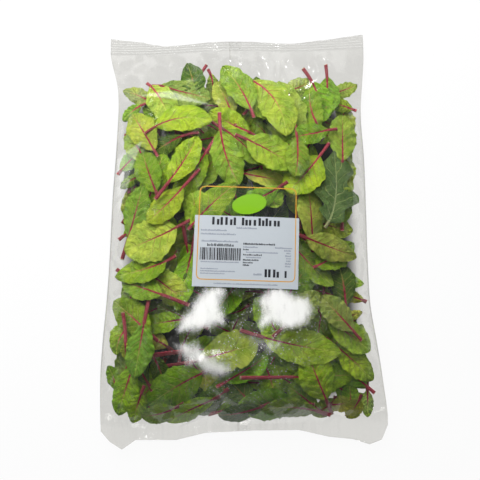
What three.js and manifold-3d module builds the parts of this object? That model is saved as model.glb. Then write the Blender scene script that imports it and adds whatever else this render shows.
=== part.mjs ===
// A clear film bag filled with loose leaves of red-stemmed chard, lying on its back.
//
// Units are millimetres. X runs across the bag, Y along it towards the top seal, and Z up from
// the surface that the bag lies on. The origin is on that surface, under the middle of the bag.
//
// The bag is one tube of film with a lap seam along its back and a crimped seal at each end. A
// label sticks to its front. The leaves are pressed up against the front of the film, or lie on
// its back, and each is a thin bent blade on its own stalk. Where there are more leaves than
// nodes, a leaf leans its stalk on a neighbour and is joined to it.

import * as THREE from 'three';
import { mergeVertices } from 'three/addons/utils/BufferGeometryUtils.js';
import Module from 'manifold-3d';

const wasm = await Module();
wasm.setup();

// ---------------------------------------------------------------- driving dimensions

// The filled tube of film.
const FILL_HEIGHT = 45;          // swell of the fill over the flat film
const FLAT_HEIGHT = 1.75;        // both layers of film where the tube lies flat
const FILM_WALL = 0.5;
const FOLD_WALL = 1.5;           // film at the two side folds
const FOLD_LIFT = 0.3;           // height of a side fold, as a share of the bag's height
const TUBE_BOTTOM = -190;
const TUBE_LENGTH = 381;
const TUBE_TRIM = 0.03;          // the tube starts and ends this share inside its length
const TUBE_SECTIONS = 20;
const FRONT_CREST = 3.8;         // exponent of the front's arch
const BACK_FLAT = 0.55;          // share of the half width that lies flat on the surface
const BACK_RISE = 3;             // exponent of the back's rise to the fold
const LAP_HALF = 6;              // half width of the lap seam on the back
const LAP_GAP = 0.4;
const BOTTOM_LIFT = 5;           // height of the flat end at the bottom seal
const TOP_LIFT = 6;              // height of the flat end at the top seal

// Half widths of the tube, as [y, half width] from the bottom seal to the top seal.
const LEFT_EDGE = [
  [-171, 126], [-135, 126], [-100, 124], [-64, 121], [-27, 119],
  [30, 117], [88, 114], [139, 114], [170, 120.5], [181, 122.5],
];
const RIGHT_EDGE = [
  [-171, 126.2], [-141, 123.5], [-106, 119.5], [-74, 116], [-33, 116],
  [5, 117], [63, 118.5], [108, 118.5], [164, 124.5], [181, 125.5],
];

// Free edges of the two crimped seals, as [x, y].
const BOTTOM_EDGE = [
  [-126, -179], [-118, -188], [-107, -195], [-95, -187], [-60, -188], [-34, -182.5],
  [8, -181.5], [48, -182], [74, -188.5], [95, -191], [109, -197], [120, -192], [126.2, -179],
];
const TOP_EDGE = [
  [-126, 196], [-93, 192], [-69, 186.5], [-34, 188], [5, 188.5], [54, 187], [93, 190], [126.2, 193],
];
const SEAL = {
  inner: [-176.5, 177.5],        // y of each seal's inner edge
  thick: 2.4,                    // at the inner edge
  thin: 1.2,                     // at the free edge
  ridge: 0.35,                   // height of a crimp ridge
  rows: 4,
  columns: 22,
};

// The label on the front of the film.
const LABEL = {
  width: 91.5,
  length: 93,
  center: [6, -15],
  turn: -3.2,                    // degrees
  thickness: 0.4,
  clear: 0.35,                   // above the film
  steps: 8,
};

// The leaves.
const STALK_RADIUS = 1.6;
const STALK_DEPTH = 2.3;
const BLADE_DEPTH = 0.7;
const RIB_DEPTH = 1.1;           // extra depth of the midrib at the blade's foot
const TIP_HALF = 0.9;            // half width of the blunt tip
const BLADE_ROWS = [0.14, 0.34, 0.57, 0.8, 1];
const LEAF_GAP = 0.9;            // clearance that each leaf keeps to all that lies above or below
const FILM_CLEAR = 0.6;          // clearance of the fill to the film's smooth inner face
const LEAN_BITE = 1.3;           // how far a leaning leaf's rib sinks into its neighbour
const LEAN_TOUCH = 1.3;          // the reach of a look for the neighbour's face over a point
const LEAN_LIMIT = 7;            // the most that a leaf bends to lean
const LEAN_REACH = 0.3;          // the share of its length that bends, to each side
const LEAN_CLEAR = 0.4;          // clearance of a leaning leaf to all but its neighbour
const LEAN_CHOICES = 30;
const SLIDE = 1.2;               // a leaf that doesn't fit is slid towards the middle in steps
const SHRINK = 0.02;             // and made smaller
const SLIDE_STEPS = 14;
const SAMPLE_STEP = 1.6;
const FIT_SCALE = 35;
const CELL = 2;                  // cell of the height fields
const FIELD_HALF = [130, 200];
const OUTSIDE = -500;            // a field below this is outside the bag
const MAX_TRIES = 4000;
const LOOSE_NODES_FRONT = 34;    // the first front leaves, nodes of their own
const OWN_NODES_FRONT = 48;      // with those further ones that can't lean
const OWN_NODES_BACK = 10;       // back leaves that are nodes of their own
const FRONT_EXTRA = 14;          // further leaves joined in over bare film at the front
const BACK_EXTRA = 16;           // and at the back
const SEED = 20;

const LOBED_ROWS = [0.1, 0.19, 0.28, 0.37, 0.46, 0.55, 0.64, 0.74, 0.84, 0.93, 1];

// Kinds of leaf: colour, then how strongly its edge waves.
const BRIGHT = { name: 'bright', color: 0x7fa63c, wave: 1.0 };
const LIGHT = { name: 'light', color: 0x9cb95a, wave: 1.2 };
const MID = { name: 'mid', color: 0x5f8a38, wave: 1.0 };
const DARK = { name: 'dark', color: 0x3c5f2a, wave: 0.9 };
const GREY = { name: 'grey', color: 0x86a46c, wave: 0.9 };
const YELLOW = { name: 'yellow', color: 0xb9c25c, wave: 0.6 };
const LOBED = { name: 'lobed', color: 0x56754b, wave: 1.2, lobes: 0.32, rows: LOBED_ROWS };

// Front leaves from the film inwards: [kind, cut end x, y, middle x, y, tip x, y, width, stalk
// length].
const FRONT_LEAVES = [
  [BRIGHT, -86, 89, -55, 102, -23, 97, 29, 11],
  [LIGHT, -86, 146, -72, 126, -62, 96, 27, 7],
  [MID, 16, 100, 4, 134, -13, 161, 29, 9],
  [BRIGHT, -75, 22, -52, 53, -36, 82, 25, 18],
  [BRIGHT, -35, 50, -59, 23, -83, 2, 25, 21],
  [BRIGHT, -16, 107, -12, 66, 1, 32, 28, 18],
  [BRIGHT, 7, 150, 35, 122, 45, 80, 34, 11],
  [MID, 49, 134, 55, 78, 51, 40, 22, 45],
  [BRIGHT, -2, 84, 25, 69, 55, 51, 33, 14],
  [BRIGHT, 85, 76, 65, 50, 44, 26, 36, 16],
  [LOBED, 83, -11, 97, 24, 98, 77, 40, 11],
  [LIGHT, -43, 2, -75, -12, -105, -20, 41, 13],
  [MID, -108, -27, -97, 5, -87, 38, 24, 22],
  [MID, -61, -28, -86, -38, -126, -44, 28, 16],
  [MID, -50, -78, -87, -62, -131, -43, 28, 38],
  [MID, -81, -65, -87, -99, -94, -135, 25, 25],
  [LIGHT, -98, -29, -70, -52, -47, -71, 27, 13],
  [LIGHT, 52, -11, 78, -21, 112, -31, 26, 14],
  [MID, 66, -44, 87, -31, 110, -15, 27, 5],
  [MID, 39, -13, 61, -37, 82, -58, 26, 10],
  [GREY, 26, -104, 49, -83, 67, -65, 25, 9],
  [GREY, 105, -107, 85, -85, 69, -69, 24, 9],
  [BRIGHT, 68, -79, 95, -100, 117, -116, 28, 10],
  [LIGHT, -2, -96, 41, -109, 86, -117, 31, 22],
  [LIGHT, -50, -124, -15, -115, 14, -108, 34, 12],
  [MID, -26, -128, -55, -141, -84, -158, 34, 11],
  [BRIGHT, 82, -175, 69, -146, 60, -119, 33, 14],
  [BRIGHT, 77, -105, 102, -127, 123, -147, 26, 10],
  [BRIGHT, 149, -171, 114, -160, 89, -152, 26, 14],
  [DARK, -21, -156, -43, -169, -66, -180, 24, 5],
  [MID, 69, -166, 36, -165, -4, -165, 29, 22],
  [MID, -93, -113, -105, -144, -114, -171, 24, 13],
  [MID, -78, -116, -44, -112, -4, -109, 23, 31],
  [MID, -3, -137, 44, -137, 98, -136, 28, 50],
  [DARK, 11, -174, -8, -142, -30, -104, 26, 34],
  [MID, 76, -48, 71, -80, 63, -122, 26, 21],
  [MID, -18, 86, -36, 56, -59, 22, 26, 26],
  [MID, -28, 103, -3, 82, 25, 55, 25, 25],
  [LIGHT, 87, -162, 109, -180, 142, -207, 29, 18],
  [MID, -37, -3, -45, -36, -57, -78, 24, 29],
  [YELLOW, -110, -75, -107, -101, -108, -119, 9, 26],
  [MID, 115, 93, 87, 86, 49, 75, 28, 16],
  [LIGHT, -73, 64, -88, 93, -100, 115, 27, 7],
  [BRIGHT, -35, -19, -39, 11, -43, 35, 22, 10],
  [BRIGHT, -55, 22, -34, 47, -17, 67, 26, 9],
  [MID, -72, 21, -83, 50, -90, 74, 26, 9],
  [MID, -89, 9, -77, 43, -68, 68, 29, 9],
  [DARK, -36, 26, -69, 35, -91, 41, 25, 8],
  [GREY, -84, 53, -98, 78, -110, 101, 24, 9],
  [GREY, -83, 145, -51, 134, -24, 123, 28, 10],
  [MID, 36, 92, 23, 120, 13, 144, 28, 9],
  [BRIGHT, 20, 82, -5, 97, -26, 111, 22, 10],
  [MID, 15, -8, -12, 12, -33, 28, 27, 9],
  [MID, -71, 78, -59, 48, -46, 11, 26, 24],
  [MID, -57, 50, -66, 26, -79, -8, 25, 18],
  [DARK, -17, 76, -5, 37, 4, -8, 26, 36],
  [LIGHT, 53, 63, 50, 107, 45, 151, 42, 11],
  [MID, 36, 136, 70, 119, 96, 109, 28, 12],
  [LIGHT, 98, 51, 100, 82, 102, 109, 28, 8],
  [LIGHT, -3, 51, 31, 44, 54, 41, 23, 11],
  [MID, 19, 77, 26, 38, 34, 10, 27, 16],
  [LIGHT, 102, 3, 107, 37, 110, 59, 26, 7],
  [MID, 106, -13, 109, 16, 111, 40, 26, 9],
  [LIGHT, 66, -30, 65, 5, 64, 34, 26, 12],
  [LIGHT, 98, -38, 75, -14, 60, 2, 25, 8],
  [MID, 82, 93, 66, 70, 48, 41, 24, 18],
  [MID, 36, 108, 71, 94, 98, 86, 28, 15],
  [GREY, -125, 1, -108, 27, -95, 47, 24, 8],
  [DARK, -104, 10, -100, -25, -93, -68, 27, 25],
  [MID, -73, -104, -95, -83, -115, -65, 27, 8],
  [DARK, -22, -74, -47, -57, -67, -44, 26, 8],
  [MID, -47, -83, -79, -86, -123, -89, 26, 24],
  [LIGHT, -24, -109, -57, -103, -81, -99, 26, 9],
  [MID, 79, -43, 102, -49, 135, -58, 24, 14],
  [DARK, 104, -90, 103, -56, 100, -30, 29, 9],
  [YELLOW, 87, -87, 97, -84, 108, -81, 9, 2],
  [DARK, -98, -126, -89, -146, -83, -175, 23, 5],
  [LIGHT, -33, -175, -69, -174, -92, -174, 28, 8],
  [MID, -77, -125, -38, -119, 5, -109, 26, 36],
  [LIGHT, -69, -165, -37, -147, -15, -135, 26, 8],
  [LIGHT, 88, -72, 85, -106, 82, -129, 26, 8],
  [MID, 122, -158, 99, -137, 83, -122, 25, 8],
  [MID, 90, -156, 66, -139, 32, -117, 29, 16],
  [MID, -21, -149, 8, -133, 28, -121, 24, 8],
  [DARK, 47, -123, 25, -128, -8, -138, 24, 12],
  [MID, 96, -193, 69, -171, 49, -157, 28, 8],
  [DARK, 31, -185, 10, -161, -6, -144, 27, 8],
  [MID, -44, -176, -16, -170, 6, -165, 22, 8],
  [LIGHT, 140, -139, 114, -163, 97, -179, 26, 8],
  [MID, 67, 153, 52, 132, 31, 103, 26, 14],
  [MID, 30, -85, 50, -54, 64, -35, 29, 7],
  [MID, 97, -46, 98, -79, 98, -122, 25, 25],
  [DARK, -89, -163, -106, -135, -117, -117, 24, 8],
  [MID, 30, -125, 40, -153, 51, -194, 28, 19],
  [MID, 35, -142, 7, -127, -16, -115, 28, 9],
  [MID, 77, -168, 55, -154, 24, -133, 22, 18],
  [YELLOW, 85, -179, 95, -181, 105, -182, 8, 3],
  [MID, -50, -3, -46, -31, -41, -70, 26, 20],
  [GREY, -114, -93, -115, -63, -115, -42, 25, 8],
  [MID, -125, 106, -113, 70, -103, 44, 26, 15],
  [MID, -30, -95, -58, -80, -79, -69, 24, 8],
];

// ---------------------------------------------------------------- small helpers

function clamp(value, low, high) {
  return Math.min(high, Math.max(low, value));
}

function lerp(a, b, t) {
  return a + (b - a) * t;
}

function ease(from, to, value) {
  const t = clamp((value - from) / (to - from), 0, 1);
  return t * t * (3 - 2 * t);
}

/** A smooth curve through [position, value] points, level beyond its ends. */
function through(points, position) {
  const last = points.length - 1;
  if (position <= points[0][0]) return points[0][1];
  if (position >= points[last][0]) return points[last][1];
  let i = 0;
  while (position > points[i + 1][0]) i += 1;
  const slope = (j) => {
    const before = points[Math.max(j - 1, 0)];
    const after = points[Math.min(j + 1, last)];
    return (after[1] - before[1]) / (after[0] - before[0]);
  };
  const span = points[i + 1][0] - points[i][0];
  const t = (position - points[i][0]) / span;
  const value = points[i][1] * (2 * t * t * t - 3 * t * t + 1);
  const next = points[i + 1][1] * (3 * t * t - 2 * t * t * t);
  const leave = slope(i) * span * (t * t * t - 2 * t * t + t);
  const arrive = slope(i + 1) * span * (t * t * t - t * t);
  return value + next + leave + arrive;
}

/** Seeded draws between 0 and 1. */
function makeDraw(seed) {
  let state = seed;
  return () => {
    state = (1664525 * state + 1013904223) % 4294967296;
    return state / 4294967296;
  };
}

function geometryOf(points, triangles) {
  const geometry = new THREE.BufferGeometry();
  geometry.setAttribute('position', new THREE.Float32BufferAttribute(points.flat(), 3));
  geometry.setIndex(triangles.flat());
  return geometry;
}

function solidOf(geometry) {
  const bare = geometry.clone();
  bare.deleteAttribute('normal');
  bare.deleteAttribute('uv');
  const merged = mergeVertices(bare);
  return new wasm.Manifold(new wasm.Mesh({
    numProp: 3,
    vertProperties: new Float32Array(merged.attributes.position.array),
    triVerts: new Uint32Array(merged.index.array),
  }));
}

function geometryOfSolid(solid) {
  const mesh = solid.getMesh();
  const geometry = new THREE.BufferGeometry();
  geometry.setAttribute('position', new THREE.BufferAttribute(mesh.vertProperties, 3));
  geometry.setIndex(new THREE.BufferAttribute(mesh.triVerts, 1));
  return geometry;
}

/** The solids joined, without any scrap that isn't held by the largest body. */
function joined(solids) {
  let whole = solids[0];
  for (const solid of solids.slice(1)) whole = whole.add(solid);
  const bodies = whole.decompose();
  bodies.sort((a, b) => b.volume() - a.volume());
  return bodies[0];
}

/** Two triangles for each cell between two rows of point numbers. */
function band(rowA, rowB) {
  const triangles = [];
  for (let i = 0; i + 1 < rowA.length; i += 1) {
    triangles.push([rowA[i], rowA[i + 1], rowB[i + 1]]);
    triangles.push([rowA[i], rowB[i + 1], rowB[i]]);
  }
  return triangles;
}

function flipped(triangles) {
  return triangles.map(([a, b, c]) => [a, c, b]);
}

// ---------------------------------------------------------------- film

/** Height of the filled tube at a place along it. */
function bagHeight(y) {
  const v = (y - TUBE_BOTTOM) / TUBE_LENGTH;
  const foot = 1 - Math.pow(1 - clamp((v - 0.035) / 0.22, 0, 1), 3);
  const head = 1 - Math.pow(clamp((v - 0.5) / 0.465, 0, 1), 2.3);
  return FLAT_HEIGHT + FILL_HEIGHT * foot * head;
}

/** How far the flat ends of the bag stand off the surface. */
function endLift(x, y) {
  const v = (y - TUBE_BOTTOM) / TUBE_LENGTH;
  const foot = 1 - ease(0.035, 0.13, v);
  const head = ease(0.8, 1, v);
  const footWave = BOTTOM_LIFT + 1.6 * Math.sin(x / 19 + 0.6);
  const headWave = TOP_LIFT + 2.2 * Math.sin(x / 24 + 2);
  return footWave * foot + headWave * head;
}

function halfWidth(side, y) {
  return through(side < 0 ? LEFT_EDGE : RIGHT_EDGE, y);
}

/** Front and back height of the film's outer or inner face, at a share of the half width. */
function faceHeights(share, y, inner) {
  const wall = inner ? FILM_WALL : 0;
  const height = bagHeight(y);
  const fold = FOLD_LIFT * height;
  const across = Math.min(Math.abs(share), 1);
  const front = fold + (height - fold - wall) * (1 - Math.pow(across, FRONT_CREST));
  const rise = Math.pow(Math.max(0, (across - BACK_FLAT) / (1 - BACK_FLAT)), BACK_RISE);
  const back = wall + (fold - wall) * rise;
  return [front, back];
}

/** The hollow inside the film over a point: [lowest, highest], or null outside it. */
function hollow(x, y) {
  if (y < SEAL.inner[0] + 2 || y > SEAL.inner[1] - 2) return null;
  const half = halfWidth(Math.sign(x) || 1, y) - FOLD_WALL;
  if (Math.abs(x) >= half) return null;
  const [front, back] = faceHeights(x / half, y, true);
  const seam = Math.abs(x) < LAP_HALF + 4 ? FILM_WALL + LAP_GAP : 0;
  const lift = endLift(x, y);
  return [back + seam + lift + FILM_CLEAR, front + lift - FILM_CLEAR];
}

/** The film's section as [x, z] pairs, outer and inner, from one edge of the lap to the other. */
function filmSection(y) {
  const backShares = [0.3, 0.55, 0.7, 0.82, 0.92];
  const frontShares = [0.94, 0.85, 0.72, 0.55, 0.36, 0.12];
  const outer = [];
  const inner = [];
  const add = (side, share, front) => {
    const signed = side * share;
    const half = halfWidth(side, y);
    const outerHeights = faceHeights(signed, y, false);
    const innerHeights = faceHeights(signed, y, true);
    const layer = front ? 0 : 1;
    const outerX = signed * half;
    const innerX = signed * (half - FOLD_WALL);
    outer.push([outerX, outerHeights[layer] + endLift(outerX, y)]);
    inner.push([innerX, innerHeights[layer] + endLift(innerX, y)]);
  };
  const addSeam = (x, step) => {
    const z = endLift(x, y) + step;
    outer.push([x, z]);
    inner.push([x, z + FILM_WALL]);
  };
  const step = FILM_WALL + LAP_GAP;
  addSeam(LAP_HALF, step);
  addSeam(-LAP_HALF - 1, step);
  addSeam(-LAP_HALF - 3, 0);
  for (const share of backShares) add(-1, share, false);
  add(-1, 1, true);
  for (const share of frontShares) add(-1, share, true);
  for (const share of [...frontShares].reverse()) add(1, share, true);
  add(1, 1, true);
  for (const share of [...backShares].reverse()) add(1, share, false);
  addSeam(LAP_HALF + 2, 0);
  addSeam(-LAP_HALF, 0);
  return { outer, inner };
}

function tubeGeometry() {
  const points = [];
  const outerRows = [];
  const innerRows = [];
  for (let k = 0; k <= TUBE_SECTIONS; k += 1) {
    const v = 0.5 - (0.5 - TUBE_TRIM) * Math.cos(Math.PI * k / TUBE_SECTIONS);
    const y = TUBE_BOTTOM + TUBE_LENGTH * v;
    const { outer, inner } = filmSection(y);
    const start = points.length;
    for (const [x, z] of outer) points.push([x, y, z]);
    for (const [x, z] of inner) points.push([x, y, z]);
    outerRows.push(outer.map((_, i) => start + i));
    innerRows.push(inner.map((_, i) => start + outer.length + i));
  }
  const triangles = [];
  for (let k = 0; k < TUBE_SECTIONS; k += 1) {
    const last = outerRows[k].length - 1;
    triangles.push(...band(outerRows[k], outerRows[k + 1]));
    triangles.push(...flipped(band(innerRows[k], innerRows[k + 1])));
    triangles.push(...band([outerRows[k][0], outerRows[k + 1][0]], [innerRows[k][0], innerRows[k + 1][0]]));
    triangles.push(...band(
      [innerRows[k][last], innerRows[k + 1][last]],
      [outerRows[k][last], outerRows[k + 1][last]],
    ));
  }
  triangles.push(...band(innerRows[0], outerRows[0]));
  triangles.push(...band(outerRows[TUBE_SECTIONS], innerRows[TUBE_SECTIONS]));
  return geometryOf(points, triangles);
}

/** One crimped seal: end 0 is the bottom one and end 1 the top one. */
function sealGeometry(end) {
  const edge = end === 0 ? BOTTOM_EDGE : TOP_EDGE;
  const innerY = SEAL.inner[end];
  const left = -halfWidth(-1, innerY);
  const right = halfWidth(1, innerY);
  const first = edge[0][0];
  const last = edge[edge.length - 1][0];
  const points = [];
  const topRows = [];
  const bottomRows = [];
  for (let j = 0; j <= SEAL.rows; j += 1) {
    const t = j / SEAL.rows;
    const ridge = j === 0 || j === SEAL.rows ? 0 : SEAL.ridge * (j % 2 === 0 ? 1 : -1);
    const half = lerp(SEAL.thick, SEAL.thin, t) / 2;
    const top = [];
    const bottom = [];
    for (let i = 0; i <= SEAL.columns; i += 1) {
      const u = i / SEAL.columns;
      const outerX = lerp(first, last, u);
      const x = lerp(lerp(left, right, u), outerX, t);
      const y = lerp(innerY, through(edge, outerX), t);
      const middle = endLift(x, innerY) + bagHeight(innerY) / 2;
      const rise = end === 0 ? 1 : 1.5;
      top.push(points.length);
      points.push([x, y, middle + half + ridge + rise * t]);
      bottom.push(points.length);
      points.push([x, y, middle - half + ridge + rise * t]);
    }
    topRows.push(top);
    bottomRows.push(bottom);
  }
  const triangles = [];
  const columns = SEAL.columns;
  for (let j = 0; j < SEAL.rows; j += 1) {
    triangles.push(...band(topRows[j], topRows[j + 1]));
    triangles.push(...flipped(band(bottomRows[j], bottomRows[j + 1])));
    triangles.push(...band([topRows[j][0], topRows[j + 1][0]], [bottomRows[j][0], bottomRows[j + 1][0]]));
    triangles.push(...band(
      [bottomRows[j][columns], bottomRows[j + 1][columns]],
      [topRows[j][columns], topRows[j + 1][columns]],
    ));
  }
  triangles.push(...band(bottomRows[0], topRows[0]));
  triangles.push(...band(topRows[SEAL.rows], bottomRows[SEAL.rows]));
  return geometryOf(points, end === 1 ? triangles : flipped(triangles));
}

function filmGeometry() {
  const parts = [tubeGeometry(), sealGeometry(0), sealGeometry(1)];
  return geometryOfSolid(joined(parts.map(solidOf)));
}

// ---------------------------------------------------------------- label

function labelGeometry() {
  const turn = THREE.MathUtils.degToRad(LABEL.turn);
  const points = [];
  const lower = [];
  const upper = [];
  for (let j = 0; j <= LABEL.steps; j += 1) {
    const lowerRow = [];
    const upperRow = [];
    for (let i = 0; i <= LABEL.steps; i += 1) {
      const u = (i / LABEL.steps - 0.5) * LABEL.width;
      const v = (j / LABEL.steps - 0.5) * LABEL.length;
      const x = LABEL.center[0] + u * Math.cos(turn) - v * Math.sin(turn);
      const y = LABEL.center[1] + u * Math.sin(turn) + v * Math.cos(turn);
      const [front] = faceHeights(x / halfWidth(Math.sign(x) || 1, y), y, false);
      const z = front + endLift(x, y) + LABEL.clear;
      lowerRow.push(points.length);
      points.push([x, y, z]);
      upperRow.push(points.length);
      points.push([x, y, z + LABEL.thickness]);
    }
    lower.push(lowerRow);
    upper.push(upperRow);
  }
  const triangles = [];
  const last = LABEL.steps;
  for (let j = 0; j < last; j += 1) {
    triangles.push(...band(upper[j], upper[j + 1]));
    triangles.push(...flipped(band(lower[j], lower[j + 1])));
    triangles.push(...band([upper[j][0], upper[j + 1][0]], [lower[j][0], lower[j + 1][0]]));
    triangles.push(...band([lower[j][last], lower[j + 1][last]], [upper[j][last], upper[j + 1][last]]));
  }
  triangles.push(...band(lower[0], upper[0]));
  triangles.push(...band(upper[last], lower[last]));
  return geometryOf(points, triangles);
}

// ---------------------------------------------------------------- leaves

/** What makes one leaf unlike another of its kind. */
function drawTraits(kind, draw) {
  return {
    fold: lerp(-0.16, 0.1, draw()),
    wave: kind.wave * lerp(0.5, 1.1, draw()),
    turns: lerp(0.9, 1.5, draw()),
    phases: [draw(), draw()],
  };
}

/** Half width of a blade at a share of its length from foot to tip. */
function bladeHalf(leaf, share) {
  const oval = Math.pow(Math.sin(Math.PI * Math.pow(share, 0.85)), 0.7);
  const lobes = 1 + (leaf.kind.lobes || 0) * Math.sin(share * 17);
  return Math.max(TIP_HALF, leaf.width / 2 * oval * lobes);
}

/**
 * The rows of a leaf from its cut end to its tip: each has its middle point, the direction to
 * its left edge, its half width, its depths at edge and rib, and its own relief at left, rib
 * and right.
 */
function leafRows(leaf) {
  const [ex, ey] = leaf.end;
  const [mx, my] = leaf.middle;
  const [tx, ty] = leaf.tip;
  const cx = 2 * mx - (ex + tx) / 2;
  const cy = 2 * my - (ey + ty) / 2;
  const length = Math.hypot(mx - ex, my - ey) + Math.hypot(tx - mx, ty - my);
  const foot = clamp(leaf.stalk / length, 0.04, 0.7);
  const { fold, wave, turns, phases } = leaf.traits;
  const shares = [0, foot / 2, foot];
  for (const row of leaf.kind.rows || BLADE_ROWS) shares.push(lerp(foot, 1, row));
  return shares.map((s, k) => {
    const blade = Math.max(0, (s - foot) / (1 - foot));
    const x = (1 - s) * (1 - s) * ex + 2 * s * (1 - s) * cx + s * s * tx;
    const y = (1 - s) * (1 - s) * ey + 2 * s * (1 - s) * cy + s * s * ty;
    const dx = (1 - s) * (cx - ex) + s * (tx - cx);
    const dy = (1 - s) * (cy - ey) + s * (ty - cy);
    const size = Math.hypot(dx, dy);
    const stalkHalf = lerp(STALK_RADIUS, STALK_RADIUS * 0.9, s / foot);
    const half = k < 3 ? stalkHalf : bladeHalf(leaf, blade);
    const relief = phases.map((phase) => (k < 3 ? 0
      : fold * half + wave * Math.sin(2 * Math.PI * (turns * blade + phase)) * Math.min(1, 6 * blade)));
    const edgeDepth = k < 3 ? STALK_DEPTH / 2 : BLADE_DEPTH;
    const ribDepth = k < 3 ? STALK_DEPTH : BLADE_DEPTH + RIB_DEPTH * (1 - blade);
    return {
      share: s,
      x,
      y,
      nx: -dy / size,
      ny: dx / size,
      half,
      relief: [relief[0], 0, relief[1]],
      depth: [edgeDepth, ribDepth, edgeDepth],
    };
  });
}

/** Points spread over a leaf, each as weights on its rows, with its place and depth. */
function leafSamples(rows) {
  const samples = [];
  for (let k = 0; k + 1 < rows.length; k += 1) {
    const a = rows[k];
    const b = rows[k + 1];
    const along = Math.max(2, Math.ceil(Math.hypot(b.x - a.x, b.y - a.y) / SAMPLE_STEP));
    const across = Math.max(2, Math.ceil(2 * Math.max(a.half, b.half) / SAMPLE_STEP));
    for (let i = 0; i <= along; i += 1) {
      for (let j = 0; j <= across; j += 1) {
        const t = i / along;
        const v = 1 - 2 * j / across;
        const edge = v >= 0 ? 0 : 2;
        const out = Math.abs(v);
        const ax = a.x + a.nx * a.half * v;
        const ay = a.y + a.ny * a.half * v;
        const bx = b.x + b.nx * b.half * v;
        const by = b.y + b.ny * b.half * v;
        const da = lerp(a.depth[1], a.depth[edge], out);
        const db = lerp(b.depth[1], b.depth[edge], out);
        samples.push({
          row: k,
          t,
          out,
          edge,
          x: lerp(ax, bx, t),
          y: lerp(ay, by, t),
          share: lerp(a.share, b.share, t),
          depth: lerp(da, db, t),
        });
      }
    }
  }
  return samples;
}

/** The least-squares fit of value = f(x, y), with f quadratic, over [x, y, value] triples. */
function fitQuadratic(triples) {
  const terms = (x, y) => [1, x, y, x * x, x * y, y * y];
  const matrix = Array.from({ length: 6 }, () => new Array(7).fill(0));
  for (const [x, y, value] of triples) {
    const row = terms(x, y);
    for (let i = 0; i < 6; i += 1) {
      for (let j = 0; j < 6; j += 1) matrix[i][j] += row[i] * row[j];
      matrix[i][6] += row[i] * value;
    }
  }
  for (let i = 3; i < 6; i += 1) matrix[i][i] += 0.01 * triples.length;
  for (let i = 0; i < 6; i += 1) {
    matrix[i][i] += 1e-6 * triples.length;
    for (let j = i + 1; j < 6; j += 1) {
      const factor = matrix[j][i] / matrix[i][i];
      for (let k = i; k < 7; k += 1) matrix[j][k] -= factor * matrix[i][k];
    }
  }
  const fit = new Array(6).fill(0);
  for (let i = 5; i >= 0; i -= 1) {
    let rest = matrix[i][6];
    for (let j = i + 1; j < 6; j += 1) rest -= matrix[i][j] * fit[j];
    fit[i] = rest / matrix[i][i];
  }
  return (x, y) => terms(x, y).reduce((sum, term, i) => sum + term * fit[i], 0);
}

/**
 * The room left in the bag. Heights are held for two sides: 1 is the front, where leaves are
 * stacked downwards from the film, and -1 the back, where they are stacked upwards. A side's
 * field holds side * height of what bounds the room there, and the owner of that surface.
 */
class Room {
  constructor() {
    this.nx = Math.round(2 * FIELD_HALF[0] / CELL);
    this.ny = Math.round(2 * FIELD_HALF[1] / CELL);
    this.field = { '1': new Float64Array(this.nx * this.ny), '-1': new Float64Array(this.nx * this.ny) };
    this.owner = { '1': new Int32Array(this.nx * this.ny), '-1': new Int32Array(this.nx * this.ny) };
    for (let j = 0; j < this.ny; j += 1) {
      for (let i = 0; i < this.nx; i += 1) {
        const x = (i + 0.5) * CELL - FIELD_HALF[0];
        const y = (j + 0.5) * CELL - FIELD_HALF[1];
        const span = hollow(x, y);
        const cell = j * this.nx + i;
        this.field[1][cell] = span ? span[1] : 2 * OUTSIDE;
        this.field[-1][cell] = span ? -span[0] : 2 * OUTSIDE;
        this.owner[1][cell] = -1;
        this.owner[-1][cell] = -1;
      }
    }
  }

  cell(x, y) {
    const i = clamp(Math.floor((x + FIELD_HALF[0]) / CELL), 1, this.nx - 2);
    const j = clamp(Math.floor((y + FIELD_HALF[1]) / CELL), 1, this.ny - 2);
    return j * this.nx + i;
  }

  add(side, samples, heights, owner) {
    const field = this.field[side];
    for (let n = 0; n < samples.length; n += 1) {
      const level = side * heights[n] - samples[n].depth / 2;
      const middle = this.cell(samples[n].x, samples[n].y);
      for (let dj = -1; dj <= 1; dj += 1) {
        for (let di = -1; di <= 1; di += 1) {
          const cell = middle + dj * this.nx + di;
          if (level < field[cell]) {
            field[cell] = level;
            this.owner[side][cell] = owner;
          }
        }
      }
    }
  }
}

function sampleHeights(samples, tops) {
  return samples.map(({ row, t, out, edge }) => {
    const a = lerp(tops[row][1], tops[row][edge], out);
    const b = lerp(tops[row + 1][1], tops[row + 1][edge], out);
    return lerp(a, b, t);
  });
}

/** The level of a node's face over a point, on one side of the room, or null beside it. */
function faceOver(node, x, y, side) {
  let nearest = LEAN_TOUCH * LEAN_TOUCH;
  let level = null;
  for (const { samples, heights } of node.leaves) {
    for (let n = 0; n < samples.length; n += 1) {
      const dx = samples[n].x - x;
      const dy = samples[n].y - y;
      const away = dx * dx + dy * dy;
      if (away < nearest) {
        nearest = away;
        level = side * heights[n] - samples[n].depth / 2;
      }
    }
  }
  return level;
}

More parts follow.
